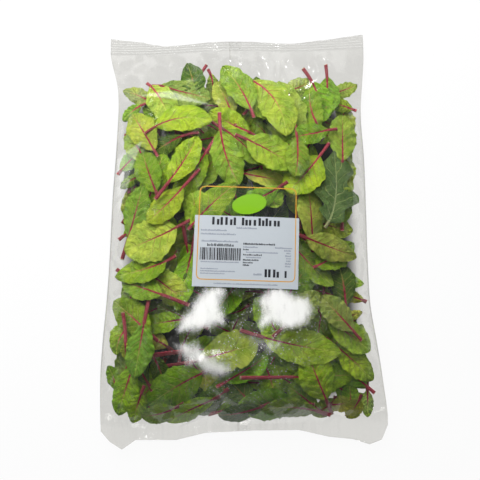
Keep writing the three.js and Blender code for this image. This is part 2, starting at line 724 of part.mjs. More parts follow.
/**
 * The bend that leans a laid leaf on a leaf of its side: the share of its length that bends,
 * the lift there, and the node that it joins. Undefined where no leaf is in reach, or another
 * node is in the way.
 */
function findLean(room, nodes, rows, samples, cells, heights, side) {
  const near = room.field[side];
  const owners = room.owner[side];
  const weigh = (sample, middle) => {
    const weight = (row) => Math.max(0, 1 - Math.abs(rows[row].share - middle) / LEAN_REACH);
    return lerp(weight(sample.row), weight(sample.row + 1), sample.t);
  };
  const found = [];
  samples.forEach((sample, n) => {
    if (sample.out > 0.4 || owners[cells[n]] < 0) return;
    const own = weigh(sample, sample.share);
    const clear = near[cells[n]] - heights[n] - sample.depth / 2;
    if ((clear + LEAN_BITE) / own >= LEAN_LIMIT) return;
    const level = faceOver(nodes[owners[cells[n]]], sample.x, sample.y, side);
    if (level === null) return;
    const lift = (level - heights[n] - sample.depth / 2 + LEAN_BITE) / own;
    if (lift < LEAN_LIMIT) found.push({ lift, middle: sample.share, node: owners[cells[n]] });
  });
  found.sort((a, b) => a.lift - b.lift);
  return found.slice(0, LEAN_CHOICES).find(({ lift, middle, node }) => !samples.some((sample, n) => {
    if (owners[cells[n]] === node) return false;
    const z = heights[n] + lift * weigh(sample, middle);
    return z + sample.depth / 2 + LEAN_CLEAR > near[cells[n]];
  }));
}

/**
 * Lays a leaf against one side of the room, bent to what bounds the room there. Returns its
 * heights by row, or null where it doesn't fit or where less than a share of it is bare. With
 * lean, its rib bends to lean on a leaf of that side, whose node it joins.
 */
function layLeaf(room, nodes, leaf, side, lean, bare) {
  const rows = leafRows(leaf);
  const samples = leafSamples(rows);
  const cells = samples.map((sample) => room.cell(sample.x, sample.y));
  const near = room.field[side];
  const far = room.field[-side];
  if (cells.some((cell) => near[cell] < OUTSIDE)) return null;
  const free = cells.filter((cell) => room.owner[side][cell] < 0).length;
  if (free < bare * cells.length) return null;
  const { x: ox, y: oy } = rows[4];
  const reliefs = sampleHeights(samples, rows.map((row) => row.relief));
  const fit = fitQuadratic(samples.map((sample, n) => [
    (sample.x - ox) / FIT_SCALE,
    (sample.y - oy) / FIT_SCALE,
    near[cells[n]] - sample.depth / 2 - LEAF_GAP - reliefs[n],
  ]));
  const levels = rows.map((row) => [1, 0, -1].map((v, edge) => {
    const x = row.x + row.nx * row.half * v;
    const y = row.y + row.ny * row.half * v;
    return fit((x - ox) / FIT_SCALE, (y - oy) / FIT_SCALE) + row.relief[edge];
  }));
  let heights = sampleHeights(samples, levels);
  const over = heights.map((z, n) => z + samples[n].depth / 2 + LEAF_GAP - near[cells[n]]);
  const sink = Math.max(...over);
  heights = heights.map((z) => z - sink);
  const best = lean ? findLean(room, nodes, rows, samples, cells, heights, side) : null;
  if (lean && !best) return null;
  const lift = (share) => (best
    ? best.lift * Math.max(0, 1 - Math.abs(share - best.middle) / LEAN_REACH) : 0);
  const settled = levels.map((row, k) => row.map((z) => z - sink + lift(rows[k].share)));
  heights = sampleHeights(samples, settled);
  if (heights.some((z, n) => -z + samples[n].depth / 2 + LEAN_CLEAR > far[cells[n]])) return null;
  return {
    leaf,
    rows,
    samples,
    node: best ? best.node : -1,
    heights: heights.map((z) => side * z),
    levels: settled.map((row) => row.map((z) => side * z)),
  };
}

/** Lays a leaf, slid towards the middle of the bag and made smaller by the least that fits it. */
function slideLeaf(room, nodes, leaf, side, lean) {
  const [mx, my] = leaf.middle;
  for (let step = 0; step <= SLIDE_STEPS; step += 1) {
    const size = 1 - SHRINK * step;
    const slide = ([x, y]) => [
      mx + (x - mx) * size - Math.sign(mx) * step * SLIDE,
      my + (y - my) * size - Math.sign(my) * step * SLIDE * ease(90, 150, Math.abs(my)),
    ];
    const moved = {
      ...leaf,
      end: slide(leaf.end),
      middle: slide(leaf.middle),
      tip: slide(leaf.tip),
      width: leaf.width * size,
      stalk: leaf.stalk * size,
    };
    const laid = layLeaf(room, nodes, moved, side, lean, 0);
    if (laid) return laid;
  }
  return null;
}

function leafGeometry({ rows, levels }) {
  const points = [];
  const upper = [];
  const lower = [];
  rows.forEach((row, k) => {
    const upperRow = [];
    const lowerRow = [];
    [1, 0, -1].forEach((v, edge) => {
      const x = row.x + row.nx * row.half * v;
      const y = row.y + row.ny * row.half * v;
      upperRow.push(points.length);
      points.push([x, y, levels[k][edge] + row.depth[edge] / 2]);
      lowerRow.push(points.length);
      points.push([x, y, levels[k][edge] - row.depth[edge] / 2]);
    });
    upper.push(upperRow);
    lower.push(lowerRow);
  });
  const triangles = [];
  const last = rows.length - 1;
  for (let k = 0; k < last; k += 1) {
    triangles.push(...band(upper[k], upper[k + 1]));
    triangles.push(...flipped(band(lower[k], lower[k + 1])));
    triangles.push(...band([upper[k][0], upper[k + 1][0]], [lower[k][0], lower[k + 1][0]]));
    triangles.push(...band([lower[k][2], lower[k + 1][2]], [upper[k][2], upper[k + 1][2]]));
  }
  triangles.push(...band(lower[0], upper[0]));
  triangles.push(...band(upper[last], lower[last]));
  return geometryOf(points, triangles);
}

/** A leaf drawn at random: its middle anywhere in the bag, at any turn. */
function randomLeaf(draw) {
  const kinds = [MID, BRIGHT, LIGHT, DARK, MID, GREY];
  const kind = kinds[Math.floor(draw() * kinds.length)];
  const x = lerp(-108, 108, draw());
  const y = lerp(-170, 144, draw());
  const turn = 2 * Math.PI * draw();
  const blade = lerp(34, 50, draw());
  const stalk = lerp(6, 24, draw() * draw());
  const width = blade * lerp(0.46, 0.62, draw());
  const reach = (blade + stalk) / 2;
  const bow = lerp(-6, 6, draw());
  const dx = Math.cos(turn);
  const dy = Math.sin(turn);
  return {
    kind,
    end: [x - dx * reach, y - dy * reach],
    middle: [x - dy * bow, y + dx * bow],
    tip: [x + dx * reach, y + dy * reach],
    width,
    stalk,
    traits: drawTraits(kind, draw),
  };
}

/** All the leaves in the bag, as a list of nodes, each a list of laid leaves. */
function fillBag() {
  const room = new Room();
  const draw = makeDraw(SEED);
  const nodes = [];
  const keep = (laid, side, name) => {
    if (laid.node < 0) nodes.push({ name, kind: laid.leaf.kind, leaves: [] });
    const node = laid.node < 0 ? nodes.length - 1 : laid.node;
    nodes[node].leaves.push(laid);
    room.add(side, laid.samples, laid.heights, node);
  };
  for (const row of FRONT_LEAVES) {
    const [kind, ex, ey, mx, my, tx, ty, width, stalk] = row;
    const traits = drawTraits(kind, draw);
    const leaf = { kind, end: [ex, ey], middle: [mx, my], tip: [tx, ty], width, stalk, traits };
    const lean = nodes.length >= LOOSE_NODES_FRONT;
    let laid = slideLeaf(room, nodes, leaf, 1, lean);
    if (!laid && lean && nodes.length < OWN_NODES_FRONT) laid = slideLeaf(room, nodes, leaf, 1, false);
    const name = `front_leaf_${String(nodes.length + 1).padStart(2, '0')}`;
    if (laid) keep(laid, 1, name);
  }
  const scatter = (side, wanted, lean, bare) => {
    let done = 0;
    for (let tries = 0; tries < MAX_TRIES && done < wanted; tries += 1) {
      const laid = layLeaf(room, nodes, randomLeaf(draw), side, lean, bare);
      if (!laid) continue;
      done += 1;
      keep(laid, side, `back_leaf_${String(done).padStart(2, '0')}`);
    }
  };
  scatter(1, FRONT_EXTRA, true, 0.3);
  scatter(-1, OWN_NODES_BACK, false, 0.85);
  scatter(-1, BACK_EXTRA, true, 0.3);
  return nodes;
}

// ---------------------------------------------------------------- the bag

function addMesh(group, name, geometry, color, roughness, opacity) {
  const material = new THREE.MeshStandardMaterial({ color, roughness, metalness: 0 });
  material.transparent = opacity < 1;
  material.opacity = opacity;
  geometry.computeVertexNormals();
  const mesh = new THREE.Mesh(geometry, material);
  mesh.name = name;
  group.add(mesh);
}

const group = new THREE.Group();
addMesh(group, 'bag_film', filmGeometry(), 0xe8eef0, 0.15, 0.3);
addMesh(group, 'label', labelGeometry(), 0xe6edf2, 0.5, 1);
for (const node of fillBag()) {
  const solid = joined(node.leaves.map((laid) => solidOf(leafGeometry(laid))));
  addMesh(group, node.name, geometryOfSolid(solid), node.kind.color, 0.55, 1);
}

export default group;
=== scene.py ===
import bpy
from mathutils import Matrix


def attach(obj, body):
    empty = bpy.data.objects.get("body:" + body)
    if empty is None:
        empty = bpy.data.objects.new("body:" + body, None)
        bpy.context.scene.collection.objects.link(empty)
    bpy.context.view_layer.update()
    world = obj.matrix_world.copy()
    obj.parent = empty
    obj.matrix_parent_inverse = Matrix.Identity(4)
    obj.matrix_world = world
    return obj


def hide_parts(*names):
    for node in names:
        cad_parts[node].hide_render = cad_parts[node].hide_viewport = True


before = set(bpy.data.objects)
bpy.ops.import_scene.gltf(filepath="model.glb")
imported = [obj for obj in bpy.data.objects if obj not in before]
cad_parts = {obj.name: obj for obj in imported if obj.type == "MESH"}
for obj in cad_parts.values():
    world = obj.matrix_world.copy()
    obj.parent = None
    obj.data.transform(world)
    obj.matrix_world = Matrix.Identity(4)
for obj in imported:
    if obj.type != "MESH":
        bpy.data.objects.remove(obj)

"""A clear film bag of loose chard leaves, lying on its back with its label up.

Sizes below are in millimetres and are turned into metres where a mesh is made. X runs across
the bag, Y along it to its top seal, and Z up. The leaves are laid by the same seeded rule as
the solids that they stand for, so each fine leaf lies in its solid's place.
"""

import math

import bpy
import numpy as np
from bpy.props import FloatProperty, FloatVectorProperty, IntProperty, PointerProperty
from mathutils import Vector

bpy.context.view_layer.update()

bl_info = {
    "name": "Chard Bag",
    "version": (1, 0, 0),
    "blender": (4, 5, 0),
    "location": "View3D > Sidebar > Chard Bag",
    "description": "Builds a clear film bag filled with loose chard leaves",
    "category": "Add Mesh",
}

MM = 0.001

# ---------------------------------------------------------------- sizes, in millimetres

# The filled tube of film.
FILL_HEIGHT = 45.0
FLAT_HEIGHT = 1.75
FILM_WALL = 0.5
FOLD_WALL = 1.5
FOLD_LIFT = 0.3
TUBE_BOTTOM = -190.0
TUBE_LENGTH = 381.0
FRONT_CREST = 3.8
BACK_FLAT = 0.55
BACK_RISE = 3.0
LAP_HALF = 6.0
LAP_GAP = 0.4
FOOT_START = 0.035
FOOT_RISE = 0.22
HEAD_START = 0.5
HEAD_FALL = 0.465
BOTTOM_LIFT = 5.0
TOP_LIFT = 6.0

LEFT_EDGE = (
    (-171, 126), (-135, 126), (-100, 124), (-64, 121), (-27, 119),
    (30, 117), (88, 114), (139, 114), (170, 120.5), (181, 122.5),
)
RIGHT_EDGE = (
    (-171, 126.2), (-141, 123.5), (-106, 119.5), (-74, 116), (-33, 116),
    (5, 117), (63, 118.5), (108, 118.5), (164, 124.5), (181, 125.5),
)
BOTTOM_EDGE = (
    (-126, -179), (-118, -188), (-107, -195), (-95, -187), (-60, -188), (-34, -182.5),
    (8, -181.5), (48, -182), (74, -188.5), (95, -191), (109, -195.8), (120, -192), (126.2, -179),
)
TOP_EDGE = (
    (-126, 196), (-93, 192), (-69, 186.5), (-34, 188), (5, 188.5), (54, 187), (93, 190), (126.2, 193),
)
SEAL_INNER = (-176.5, 177.5)

# The film's mesh: the shares of its rows in each seal and of its columns in each half of the
# back, how far apart the sealed layers lie, and the wave of the sealed ends.
SEAL_SHARE = 0.07
BACK_SHARE = 0.25
LAYER_HALF_GAP = 0.12
SEAL_WAVE = 0.8
FRONT_SEED, BACK_SEED, SEAL_SEED = 40, 80, 21

# The label.
LABEL_WIDTH = 91.5
LABEL_LENGTH = 93.0
LABEL_CENTER = (6.0, -15.0)
LABEL_TURN = -3.2
LABEL_CLEAR = 0.35
PANEL_TOP = 16.8
PANEL_LEVEL = 0.03
INK_LEVEL = 0.07
OVAL_LEVEL = 0.11
FRAME_INSET = (3.5, 6.4, 3, 3)
FRAME_CORNER = 4
CORNER_STEPS = 6
OVAL_CENTER = (1.5, 28)
OVAL_HALF = (15, 9.3)
OVAL_LEAN = (1.5, 1.2)
SMALL_MARK = 0.74
BARS_BOX = (-40.0, -23, -4.5, -12)
BAR_WIDTHS = (0.3, 1.2)
BAR_GAPS = (0.3, 0.8)
LABEL_SEED = 7

# The leaves.
STALK_RADIUS = 1.6
STALK_DEPTH = 2.3
BLADE_DEPTH = 0.7
RIB_DEPTH = 1.1
TIP_HALF = 0.9
BLADE_ROWS = (0.14, 0.34, 0.57, 0.8, 1)
LOBED_ROWS = (0.1, 0.19, 0.28, 0.37, 0.46, 0.55, 0.64, 0.74, 0.84, 0.93, 1)
LEAF_GAP = 0.9
FILM_CLEAR = 0.6
LEAN_BITE = 1.3
LEAN_TOUCH = 1.3
LEAN_LIMIT = 7.0
LEAN_REACH = 0.3
LEAN_CLEAR = 0.4
LEAN_CHOICES = 30
SLIDE = 1.2
SHRINK = 0.02
SLIDE_STEPS = 14
SAMPLE_STEP = 1.6
FIT_SCALE = 35.0
CELL = 2.0
FIELD_HALF = (130, 200)
OUTSIDE = -500.0
MAX_TRIES = 4000
LOOSE_NODES_FRONT = 34
OWN_NODES_FRONT = 48
OWN_NODES_BACK = 10
FRONT_EXTRA = 14
BACK_EXTRA = 16
SEED = 20
LOBE_TURNS = 17

# What a leaf drawn at random may be: its middle across and along the bag, its blade, its stalk,
# its width as a share of the blade, and how far its middle bows aside.
RANDOM_ACROSS = (-108, 108)
RANDOM_ALONG = (-170, 144)
RANDOM_BLADE = (34, 50)
RANDOM_STALK = (6, 24)
RANDOM_WIDTH = (0.46, 0.62)
RANDOM_BOW = (-6, 6)

# Leaves that the solids leave out: some anywhere, by side and number, then soft ones that are
# drawn over the gaps and lie between the two piles.
LOOSE_ROUNDS = ((1, 18), (-1, 12))
LOOSE_TRIES = 500
LOOSE_GAP = 0.3
LOOSE_CLEAR = -0.4
GAP_TRIES = 420
GAP_SIZES = (0.55, 1.0)
GAP_STRAY = 6.0
GAP_STEPS = 4
GAP_PULL = 0.035
GAP_MARGIN = 5.0
GAP_RANGE = (-175, 140)
DRAPE_REACH = 4
DRAPE_SHARES = (0.3, 0.7)
DRAPE_RELIEF = 0.6
DRAPE_BITE = 0.7
DRAPE_MISFIT = 0.03
SCRAPS = {"front_leaf_35": (0, 1, 2, 3, 6)}

# The fine leaves: faces along and across, faces along the stalk, side veins and their slant,
# the edge and the rib, how much they pucker and ruffle, and how they press against the film.
LEAF_ROWS = 45
LEAF_COLUMNS = 14
STALK_ROWS = 9
STALK_UV = 0.25
VEIN_COUNT = 7
BLADE_SKEW = 1.0
BLADE_ROUND = 0.62
VEIN_SLANT = 0.24
EDGE_HALF = 0.2
RIB_WIDTH = 0.9
RIB_RAISED = 0.85
RIB_SUNK = 0.12
PUCKER_SHARES = (0.5, 1.35)
RUFFLE_TURNS = (4, 6.5)
PRESS_CLEAR = 0.3
PRESS_GIVE = 0.1

# Greeked lines on the label: left, right, middle, height and whether they are bold.
LABEL_LINES = (
    (-30.5, -8, 12, 7, True), (-4.5, 29, 12, 7, True), (-9, 9, 6.2, 1.6, False),
    (-40, -17, 3.6, 1.5, False), (-40, -9, 0.2, 1.5, False), (-39, -7, -6.2, 1.6, False),
    (-34, -11, -9.6, 2.4, True), (-39, -6, -24.6, 1.2, False),
    (-2.5, 25, -7.8, 1.7, True), (-2.5, 10, -10.6, 1.4, False), (25, 40, -10.6, 1.4, False),
    (-2.5, 3, -12.9, 1.4, True), (33, 39, -12.9, 1.4, False), (0, 28, -15.2, 1.2, False),
    (35, 39, -15.2, 1.2, False), (-2.5, 14, -17.5, 1.4, True), (34, 39, -17.5, 1.4, False),
    (0, 13, -19.8, 1.2, False), (35, 39, -19.8, 1.2, False), (-2.5, 11, -22.1, 1.4, True),
    (35, 39, -22.1, 1.4, False), (-2.5, 6, -24.4, 1.4, True), (34, 39, -24.4, 1.4, False),
    (-2.5, 3, -26.7, 1.4, True), (34, 39, -26.7, 1.4, False),
    (7, 14, -34.6, 1.7, False), (16.5, 30.5, -33.3, 7, True), (33.8, 37.9, -33.8, 6, True),
    (-39, -24, -30.6, 1.1, False), (-39, -9, -32.7, 1.1, False), (-39, -18, -34.8, 1.1, False),
    (-27, 28, -43.4, 1.2, False),
)

# Where the front of the film is pulled taut over the leaves below the label.
TAUT_SPOT = (5, -88)
TAUT_REACH = (62, 40)

# Folds pulled flat in the front of the film: three corners, then the slope across and along.
FLAT_FOLDS = (
    (((60, 134), (83, 150), (69, 126)), (-0.085, -0.37)),
    (((62, 120), (66, 125.5), (92, 141)), (-0.077, -0.375)),
    (((103, -58), (93, -56), (106, -72)), (-0.62, -0.1)),
)
FOLD_EDGE = 1.6
FOLD_SINK = 0.8

# Slack folds painted pale, a painted sheen where they would catch the light: three corners, then how
# strongly.
PAINTED_SHEEN_FOLDS = (
    (((-90, 131), (-62, 132), (-24, 114)), 0.6),
    (((-113, 68), (-88, 80), (-108, 30)), 0.5),
    (((-112, 40), (-99, 46), (-110, 13)), 0.45),
    (((-30, -143), (-4, -160), (-15, -158)), 0.9),
    (((-55, -176), (-20, -156), (-25, -165)), 1.0),
    (((28, -172), (52, -161), (59, -169)), 1.0),
)

# Mist inside the front of the film, with a painted glare in it: its outline, then how strongly it
# hides the leaves.
MIST_AND_GLARE_SOFT = 7.5
MIST_AND_GLARE_PATCHES = (
    (((-30, -63), (-24, -60), (-18, -60), (-14, -64), (-18, -69), (-19, -76), (-16, -85),
      (-16, -91), (-24, -93), (-37, -95), (-46, -96), (-53, -97), (-54, -95), (-49, -86),
      (-43, -78), (-37, -69)), 1.0),
    (((23, -67), (27, -64), (33, -63), (39, -66), (47, -71), (57, -71), (59, -77), (59, -84),
      (55, -93), (48, -95), (40, -97), (32, -94), (25, -92), (17, -95), (15, -93), (18, -85),
      (17, -77), (15, -73)), 1.0),
    (((-54, -109), (-50, -107), (-42, -109), (-31, -116), (-22, -123), (-12, -127),
      (-10, -131), (-17, -136), (-25, -135), (-33, -131), (-44, -124), (-51, -116)), 0.85),
    (((8, -104), (15, -104), (26, -108), (33, -109), (32, -114), (24, -116), (16, -114),
      (11, -110)), 0.55),
)

# The camera, the floor, the sky and the lights, in metres and radians. The key and the fill are
# given by place, aim, width and length. The small lamps have a name before that, and after it
# their power in watts and whether they light the leaves. Those that don't are there to be
# mirrored by the film.
CAMERA_PLACE = (-0.0008, -0.1657, 0.6981)
CAMERA_TURN = (math.radians(12.6), 0, math.radians(-1.39))
LENS = 57.45
LENS_SHIFT = (-0.00625, 0.0021)
FLOOR_DROP = 0.0003
SKY_COLOR = (0.97, 0.985, 1.0, 1)
SKY_FADE = (0.35, 0.9)
SUN_AWAY = (0.206, 0.892, 0.402)
SUN_ANGLE = math.radians(1.2)
KEY_LIGHT = ((-0.2, 0.5, 0.42), (-0.02, 0.06, 0), 1.0, 0.5)
FILL_LIGHT = ((-0.1, 0.1, 1.2), (0, -0.02, 0), 1.4, 1.4)
LAMPS = (
    ("lamp_left", (-0.15, 0.05, 1.233), (-0.031, -0.087, 0.047), 0.16, 0.19, 1.5, True),
    ("lamp_right", (0.245, 0.073, 1.224), (0.037, -0.082, 0.046), 0.2, 0.17, 1.55, True),
    ("lamp_low", (-0.143, -0.39, 1.204), (-0.033, -0.119, 0.045), 0.06, 0.3, 0.6, False),
    ("lamp_head", (-0.674, 0.991, 0.627), (-0.091, 0.139, 0.016), 0.06, 0.08, 0.06, False),
)

# Kinds of leaf: how strongly the edge waves, the depth of its lobes and the rows of its solid.
KINDS = {
    "bright": {"wave": 1.0},
    "light": {"wave": 1.2},
    "mid": {"wave": 1.0},
    "dark": {"wave": 0.9},
    "grey": {"wave": 0.9},
    "yellow": {"wave": 0.6},
    "lobed": {"wave": 1.2, "lobes": 0.32, "rows": LOBED_ROWS},
}
BRIGHT, LIGHT, MID, DARK, GREY, YELLOW, LOBED = KINDS

# Front leaves from the film inwards: kind, cut end x, y, middle x, y, tip x, y, width, stalk
# length.
FRONT_LEAVES = (
    (BRIGHT, -86, 89, -55, 102, -23, 97, 29, 11),
    (LIGHT, -86, 146, -72, 126, -62, 96, 27, 7),
    (MID, 16, 100, 4, 134, -13, 161, 29, 9),
    (BRIGHT, -75, 22, -52, 53, -36, 82, 25, 18),
    (BRIGHT, -35, 50, -59, 23, -83, 2, 25, 21),
    (BRIGHT, -16, 107, -12, 66, 1, 32, 28, 18),
    (BRIGHT, 7, 150, 35, 122, 45, 80, 34, 11),
    (MID, 49, 134, 55, 78, 51, 40, 22, 45),
    (BRIGHT, -2, 84, 25, 69, 55, 51, 33, 14),
    (BRIGHT, 85, 76, 65, 50, 44, 26, 36, 16),
    (LOBED, 83, -11, 97, 24, 98, 77, 40, 11),
    (LIGHT, -43, 2, -75, -12, -105, -20, 41, 13),
    (MID, -108, -27, -97, 5, -87, 38, 24, 22),
    (MID, -61, -28, -86, -38, -126, -44, 28, 16),
    (MID, -50, -78, -87, -62, -131, -43, 28, 38),
    (MID, -81, -65, -87, -99, -94, -135, 25, 25),
    (LIGHT, -98, -29, -70, -52, -47, -71, 27, 13),
    (LIGHT, 52, -11, 78, -21, 112, -31, 26, 14),
    (MID, 66, -44, 87, -31, 110, -15, 27, 5),
    (MID, 39, -13, 61, -37, 82, -58, 26, 10),
    (GREY, 26, -104, 49, -83, 67, -65, 25, 9),
    (GREY, 105, -107, 85, -85, 69, -69, 24, 9),
    (BRIGHT, 68, -79, 95, -100, 117, -116, 28, 10),
    (LIGHT, -2, -96, 41, -109, 86, -117, 31, 22),
    (LIGHT, -50, -124, -15, -115, 14, -108, 34, 12),
    (MID, -26, -128, -55, -141, -84, -158, 34, 11),
    (BRIGHT, 82, -175, 69, -146, 60, -119, 33, 14),
    (BRIGHT, 77, -105, 102, -127, 123, -147, 26, 10),
    (BRIGHT, 149, -171, 114, -160, 89, -152, 26, 14),
    (DARK, -21, -156, -43, -169, -66, -180, 24, 5),
    (MID, 69, -166, 36, -165, -4, -165, 29, 22),
    (MID, -93, -113, -105, -144, -114, -171, 24, 13),
    (MID, -78, -116, -44, -112, -4, -109, 23, 31),
    (MID, -3, -137, 44, -137, 98, -136, 28, 50),
    (DARK, 11, -174, -8, -142, -30, -104, 26, 34),
    (MID, 76, -48, 71, -80, 63, -122, 26, 21),
    (MID, -18, 86, -36, 56, -59, 22, 26, 26),
    (MID, -28, 103, -3, 82, 25, 55, 25, 25),
    (LIGHT, 87, -162, 109, -180, 142, -207, 29, 18),
    (MID, -37, -3, -45, -36, -57, -78, 24, 29),
    (YELLOW, -110, -75, -107, -101, -108, -119, 9, 26),
    (MID, 115, 93, 87, 86, 49, 75, 28, 16),
    (LIGHT, -73, 64, -88, 93, -100, 115, 27, 7),
    (BRIGHT, -35, -19, -39, 11, -43, 35, 22, 10),
    (BRIGHT, -55, 22, -34, 47, -17, 67, 26, 9),
    (MID, -72, 21, -83, 50, -90, 74, 26, 9),
    (MID, -89, 9, -77, 43, -68, 68, 29, 9),
    (DARK, -36, 26, -69, 35, -91, 41, 25, 8),
    (GREY, -84, 53, -98, 78, -110, 101, 24, 9),
    (GREY, -83, 145, -51, 134, -24, 123, 28, 10),
    (MID, 36, 92, 23, 120, 13, 144, 28, 9),
    (BRIGHT, 20, 82, -5, 97, -26, 111, 22, 10),
    (MID, 15, -8, -12, 12, -33, 28, 27, 9),
    (MID, -71, 78, -59, 48, -46, 11, 26, 24),
    (MID, -57, 50, -66, 26, -79, -8, 25, 18),
    (DARK, -17, 76, -5, 37, 4, -8, 26, 36),
    (LIGHT, 53, 63, 50, 107, 45, 151, 42, 11),
    (MID, 36, 136, 70, 119, 96, 109, 28, 12),
    (LIGHT, 98, 51, 100, 82, 102, 109, 28, 8),
    (LIGHT, -3, 51, 31, 44, 54, 41, 23, 11),
    (MID, 19, 77, 26, 38, 34, 10, 27, 16),
    (LIGHT, 102, 3, 107, 37, 110, 59, 26, 7),
    (MID, 106, -13, 109, 16, 111, 40, 26, 9),
    (LIGHT, 66, -30, 65, 5, 64, 34, 26, 12),
    (LIGHT, 98, -38, 75, -14, 60, 2, 25, 8),
    (MID, 82, 93, 66, 70, 48, 41, 24, 18),
    (MID, 36, 108, 71, 94, 98, 86, 28, 15),
    (GREY, -125, 1, -108, 27, -95, 47, 24, 8),
    (DARK, -104, 10, -100, -25, -93, -68, 27, 25),
    (MID, -73, -104, -95, -83, -115, -65, 27, 8),
    (DARK, -22, -74, -47, -57, -67, -44, 26, 8),
    (MID, -47, -83, -79, -86, -123, -89, 26, 24),
    (LIGHT, -24, -109, -57, -103, -81, -99, 26, 9),
    (MID, 79, -43, 102, -49, 135, -58, 24, 14),
    (DARK, 104, -90, 103, -56, 100, -30, 29, 9),
    (YELLOW, 87, -87, 97, -84, 108, -81, 9, 2),
    (DARK, -98, -126, -89, -146, -83, -175, 23, 5),
    (LIGHT, -33, -175, -69, -174, -92, -174, 28, 8),
    (MID, -77, -125, -38, -119, 5, -109, 26, 36),
    (LIGHT, -69, -165, -37, -147, -15, -135, 26, 8),
    (LIGHT, 88, -72, 85, -106, 82, -129, 26, 8),
    (MID, 122, -158, 99, -137, 83, -122, 25, 8),
    (MID, 90, -156, 66, -139, 32, -117, 29, 16),
    (MID, -21, -149, 8, -133, 28, -121, 24, 8),
    (DARK, 47, -123, 25, -128, -8, -138, 24, 12),
    (MID, 96, -193, 69, -171, 49, -157, 28, 8),
    (DARK, 31, -185, 10, -161, -6, -144, 27, 8),
    (MID, -44, -176, -16, -170, 6, -165, 22, 8),
    (LIGHT, 140, -139, 114, -163, 97, -179, 26, 8),
    (MID, 67, 153, 52, 132, 31, 103, 26, 14),
    (MID, 30, -85, 50, -54, 64, -35, 29, 7),
    (MID, 97, -46, 98, -79, 98, -122, 25, 25),
    (DARK, -89, -163, -106, -135, -117, -117, 24, 8),
    (MID, 30, -125, 40, -153, 51, -194, 28, 19),
    (MID, 35, -142, 7, -127, -16, -115, 28, 9),
    (MID, 77, -168, 55, -154, 24, -133, 22, 18),
    (YELLOW, 85, -179, 95, -181, 105, -182, 8, 3),
    (MID, -50, -3, -46, -31, -41, -70, 26, 20),
    (GREY, -114, -93, -115, -63, -115, -42, 25, 8),
    (MID, -125, 106, -113, 70, -103, 44, 26, 15),
    (MID, -30, -95, -58, -80, -79, -69, 24, 8),
)

# Front leaves that the solids leave out, given in the same way.
LOOSE_LEAVES = (
    (LIGHT, -41, 0, -33, 16, -23, 31, 26, 6),
    (BRIGHT, 33, 20, 8, 24, -18, 28.5, 19, 12),
    (MID, 14, 0, 1, 10, -11, 21, 22, 6),
    (DARK, 49, 15, 33, 9, 15, 4, 24, 12),
    (MID, -20, -155, -45, -164, -72, -176, 30, 4),
    (MID, -6, -147, 5, -160, 22, -176, 14, 24),
    (MID, 70, -170, 40, -163, 10, -166, 24, 8),
    (YELLOW, 84, -172, 95, -173, 108, -170, 18, 5),
)

# Loose leaves that lie over the others, pressed against the film.
TOP_LEAVES = (
    (BRIGHT, -45, -8, -25, 14, -2, 33, 25, 5),
    (MID, 44, 34, 20, 20, -3, 11, 20, 9),
    (MID, -52, -158, -72, -166, -91, -168, 17, 8),
    (BRIGHT, -20, -152, -45, -162, -68, -172, 16, 6),
    (MID, 76, -170, 45, -163, 16, -164, 16, 12),
    (YELLOW, 104, -154, 99, -164, 91, -174, 17, 5),
    (DARK, 22, -160, -2, -167, -24, -169, 15, 8),
    (MID, -86, -142, -93, -158, -99, -174, 17, 8),
)


# ---------------------------------------------------------------- small helpers


def lerp(a, b, t):
    return a + (b - a) * t


def ease(start, end, value):
    t = np.clip((value - start) / (end - start), 0, 1)
    return t * t * (3 - 2 * t)


def through(points, position):
    """A smooth curve through (position, value) points, level beyond its ends."""
    at = np.array([p[0] for p in points], dtype=float)
    value = np.array([p[1] for p in points], dtype=float)
    last = len(points) - 1
    before = np.maximum(np.arange(last + 1) - 1, 0)
    after = np.minimum(np.arange(last + 1) + 1, last)
    slope = (value[after] - value[before]) / (at[after] - at[before])
    p = np.clip(np.asarray(position, dtype=float), at[0], at[last])
    i = np.clip(np.searchsorted(at, p, side="left") - 1, 0, last - 1)
    span = at[i + 1] - at[i]
    t = (p - at[i]) / span
    start = value[i] * (2 * t * t * t - 3 * t * t + 1)
    end = value[i + 1] * (3 * t * t - 2 * t * t * t)
    leave = slope[i] * span * (t * t * t - 2 * t * t + t)
    arrive = slope[i + 1] * span * (t * t * t - t * t)
    return start + end + leave + arrive


class Draw:
    """Seeded draws between 0 and 1."""

    FACTOR, STEP, RANGE = 1664525, 1013904223, 2 ** 32

    def __init__(self, seed):
        self.state = seed

    def __call__(self):
        self.state = (self.FACTOR * self.state + self.STEP) % self.RANGE
        return self.state / self.RANGE


# ---------------------------------------------------------------- the bag's form


def bag_height(y):
    v = (y - TUBE_BOTTOM) / TUBE_LENGTH
    foot = 1 - np.power(1 - np.clip((v - FOOT_START) / FOOT_RISE, 0, 1), 3)
    head = 1 - np.power(np.clip((v - HEAD_START) / HEAD_FALL, 0, 1), 2.3)
    return FLAT_HEIGHT + FILL_HEIGHT * foot * head


def end_lift(x, y):
    v = (y - TUBE_BOTTOM) / TUBE_LENGTH
    foot = 1 - ease(FOOT_START, 0.13, v)
    head = ease(0.8, 1, v)
    foot_wave = BOTTOM_LIFT + 1.6 * np.sin(x / 19 + 0.6)
    head_wave = TOP_LIFT + 2.2 * np.sin(x / 24 + 2)
    return foot_wave * foot + head_wave * head


def half_width(x, y):
    """Half width of the tube on the side that x is on."""
    return np.where(np.asarray(x) < 0, through(LEFT_EDGE, y), through(RIGHT_EDGE, y))


def face_heights(share, y, inner):
    """Front and back height of the film's outer or inner face, at a share of the half width."""
    wall = FILM_WALL if inner else 0
    height = bag_height(y)
    fold = FOLD_LIFT * height
    across = np.minimum(np.abs(share), 1)
    front = fold + (height - fold - wall) * (1 - np.power(across, FRONT_CREST))
    rise = np.power(np.maximum(0, (across - BACK_FLAT) / (1 - BACK_FLAT)), BACK_RISE)
    back = wall + (fold - wall) * rise
    return front, back


# ---------------------------------------------------------------- laying the leaves


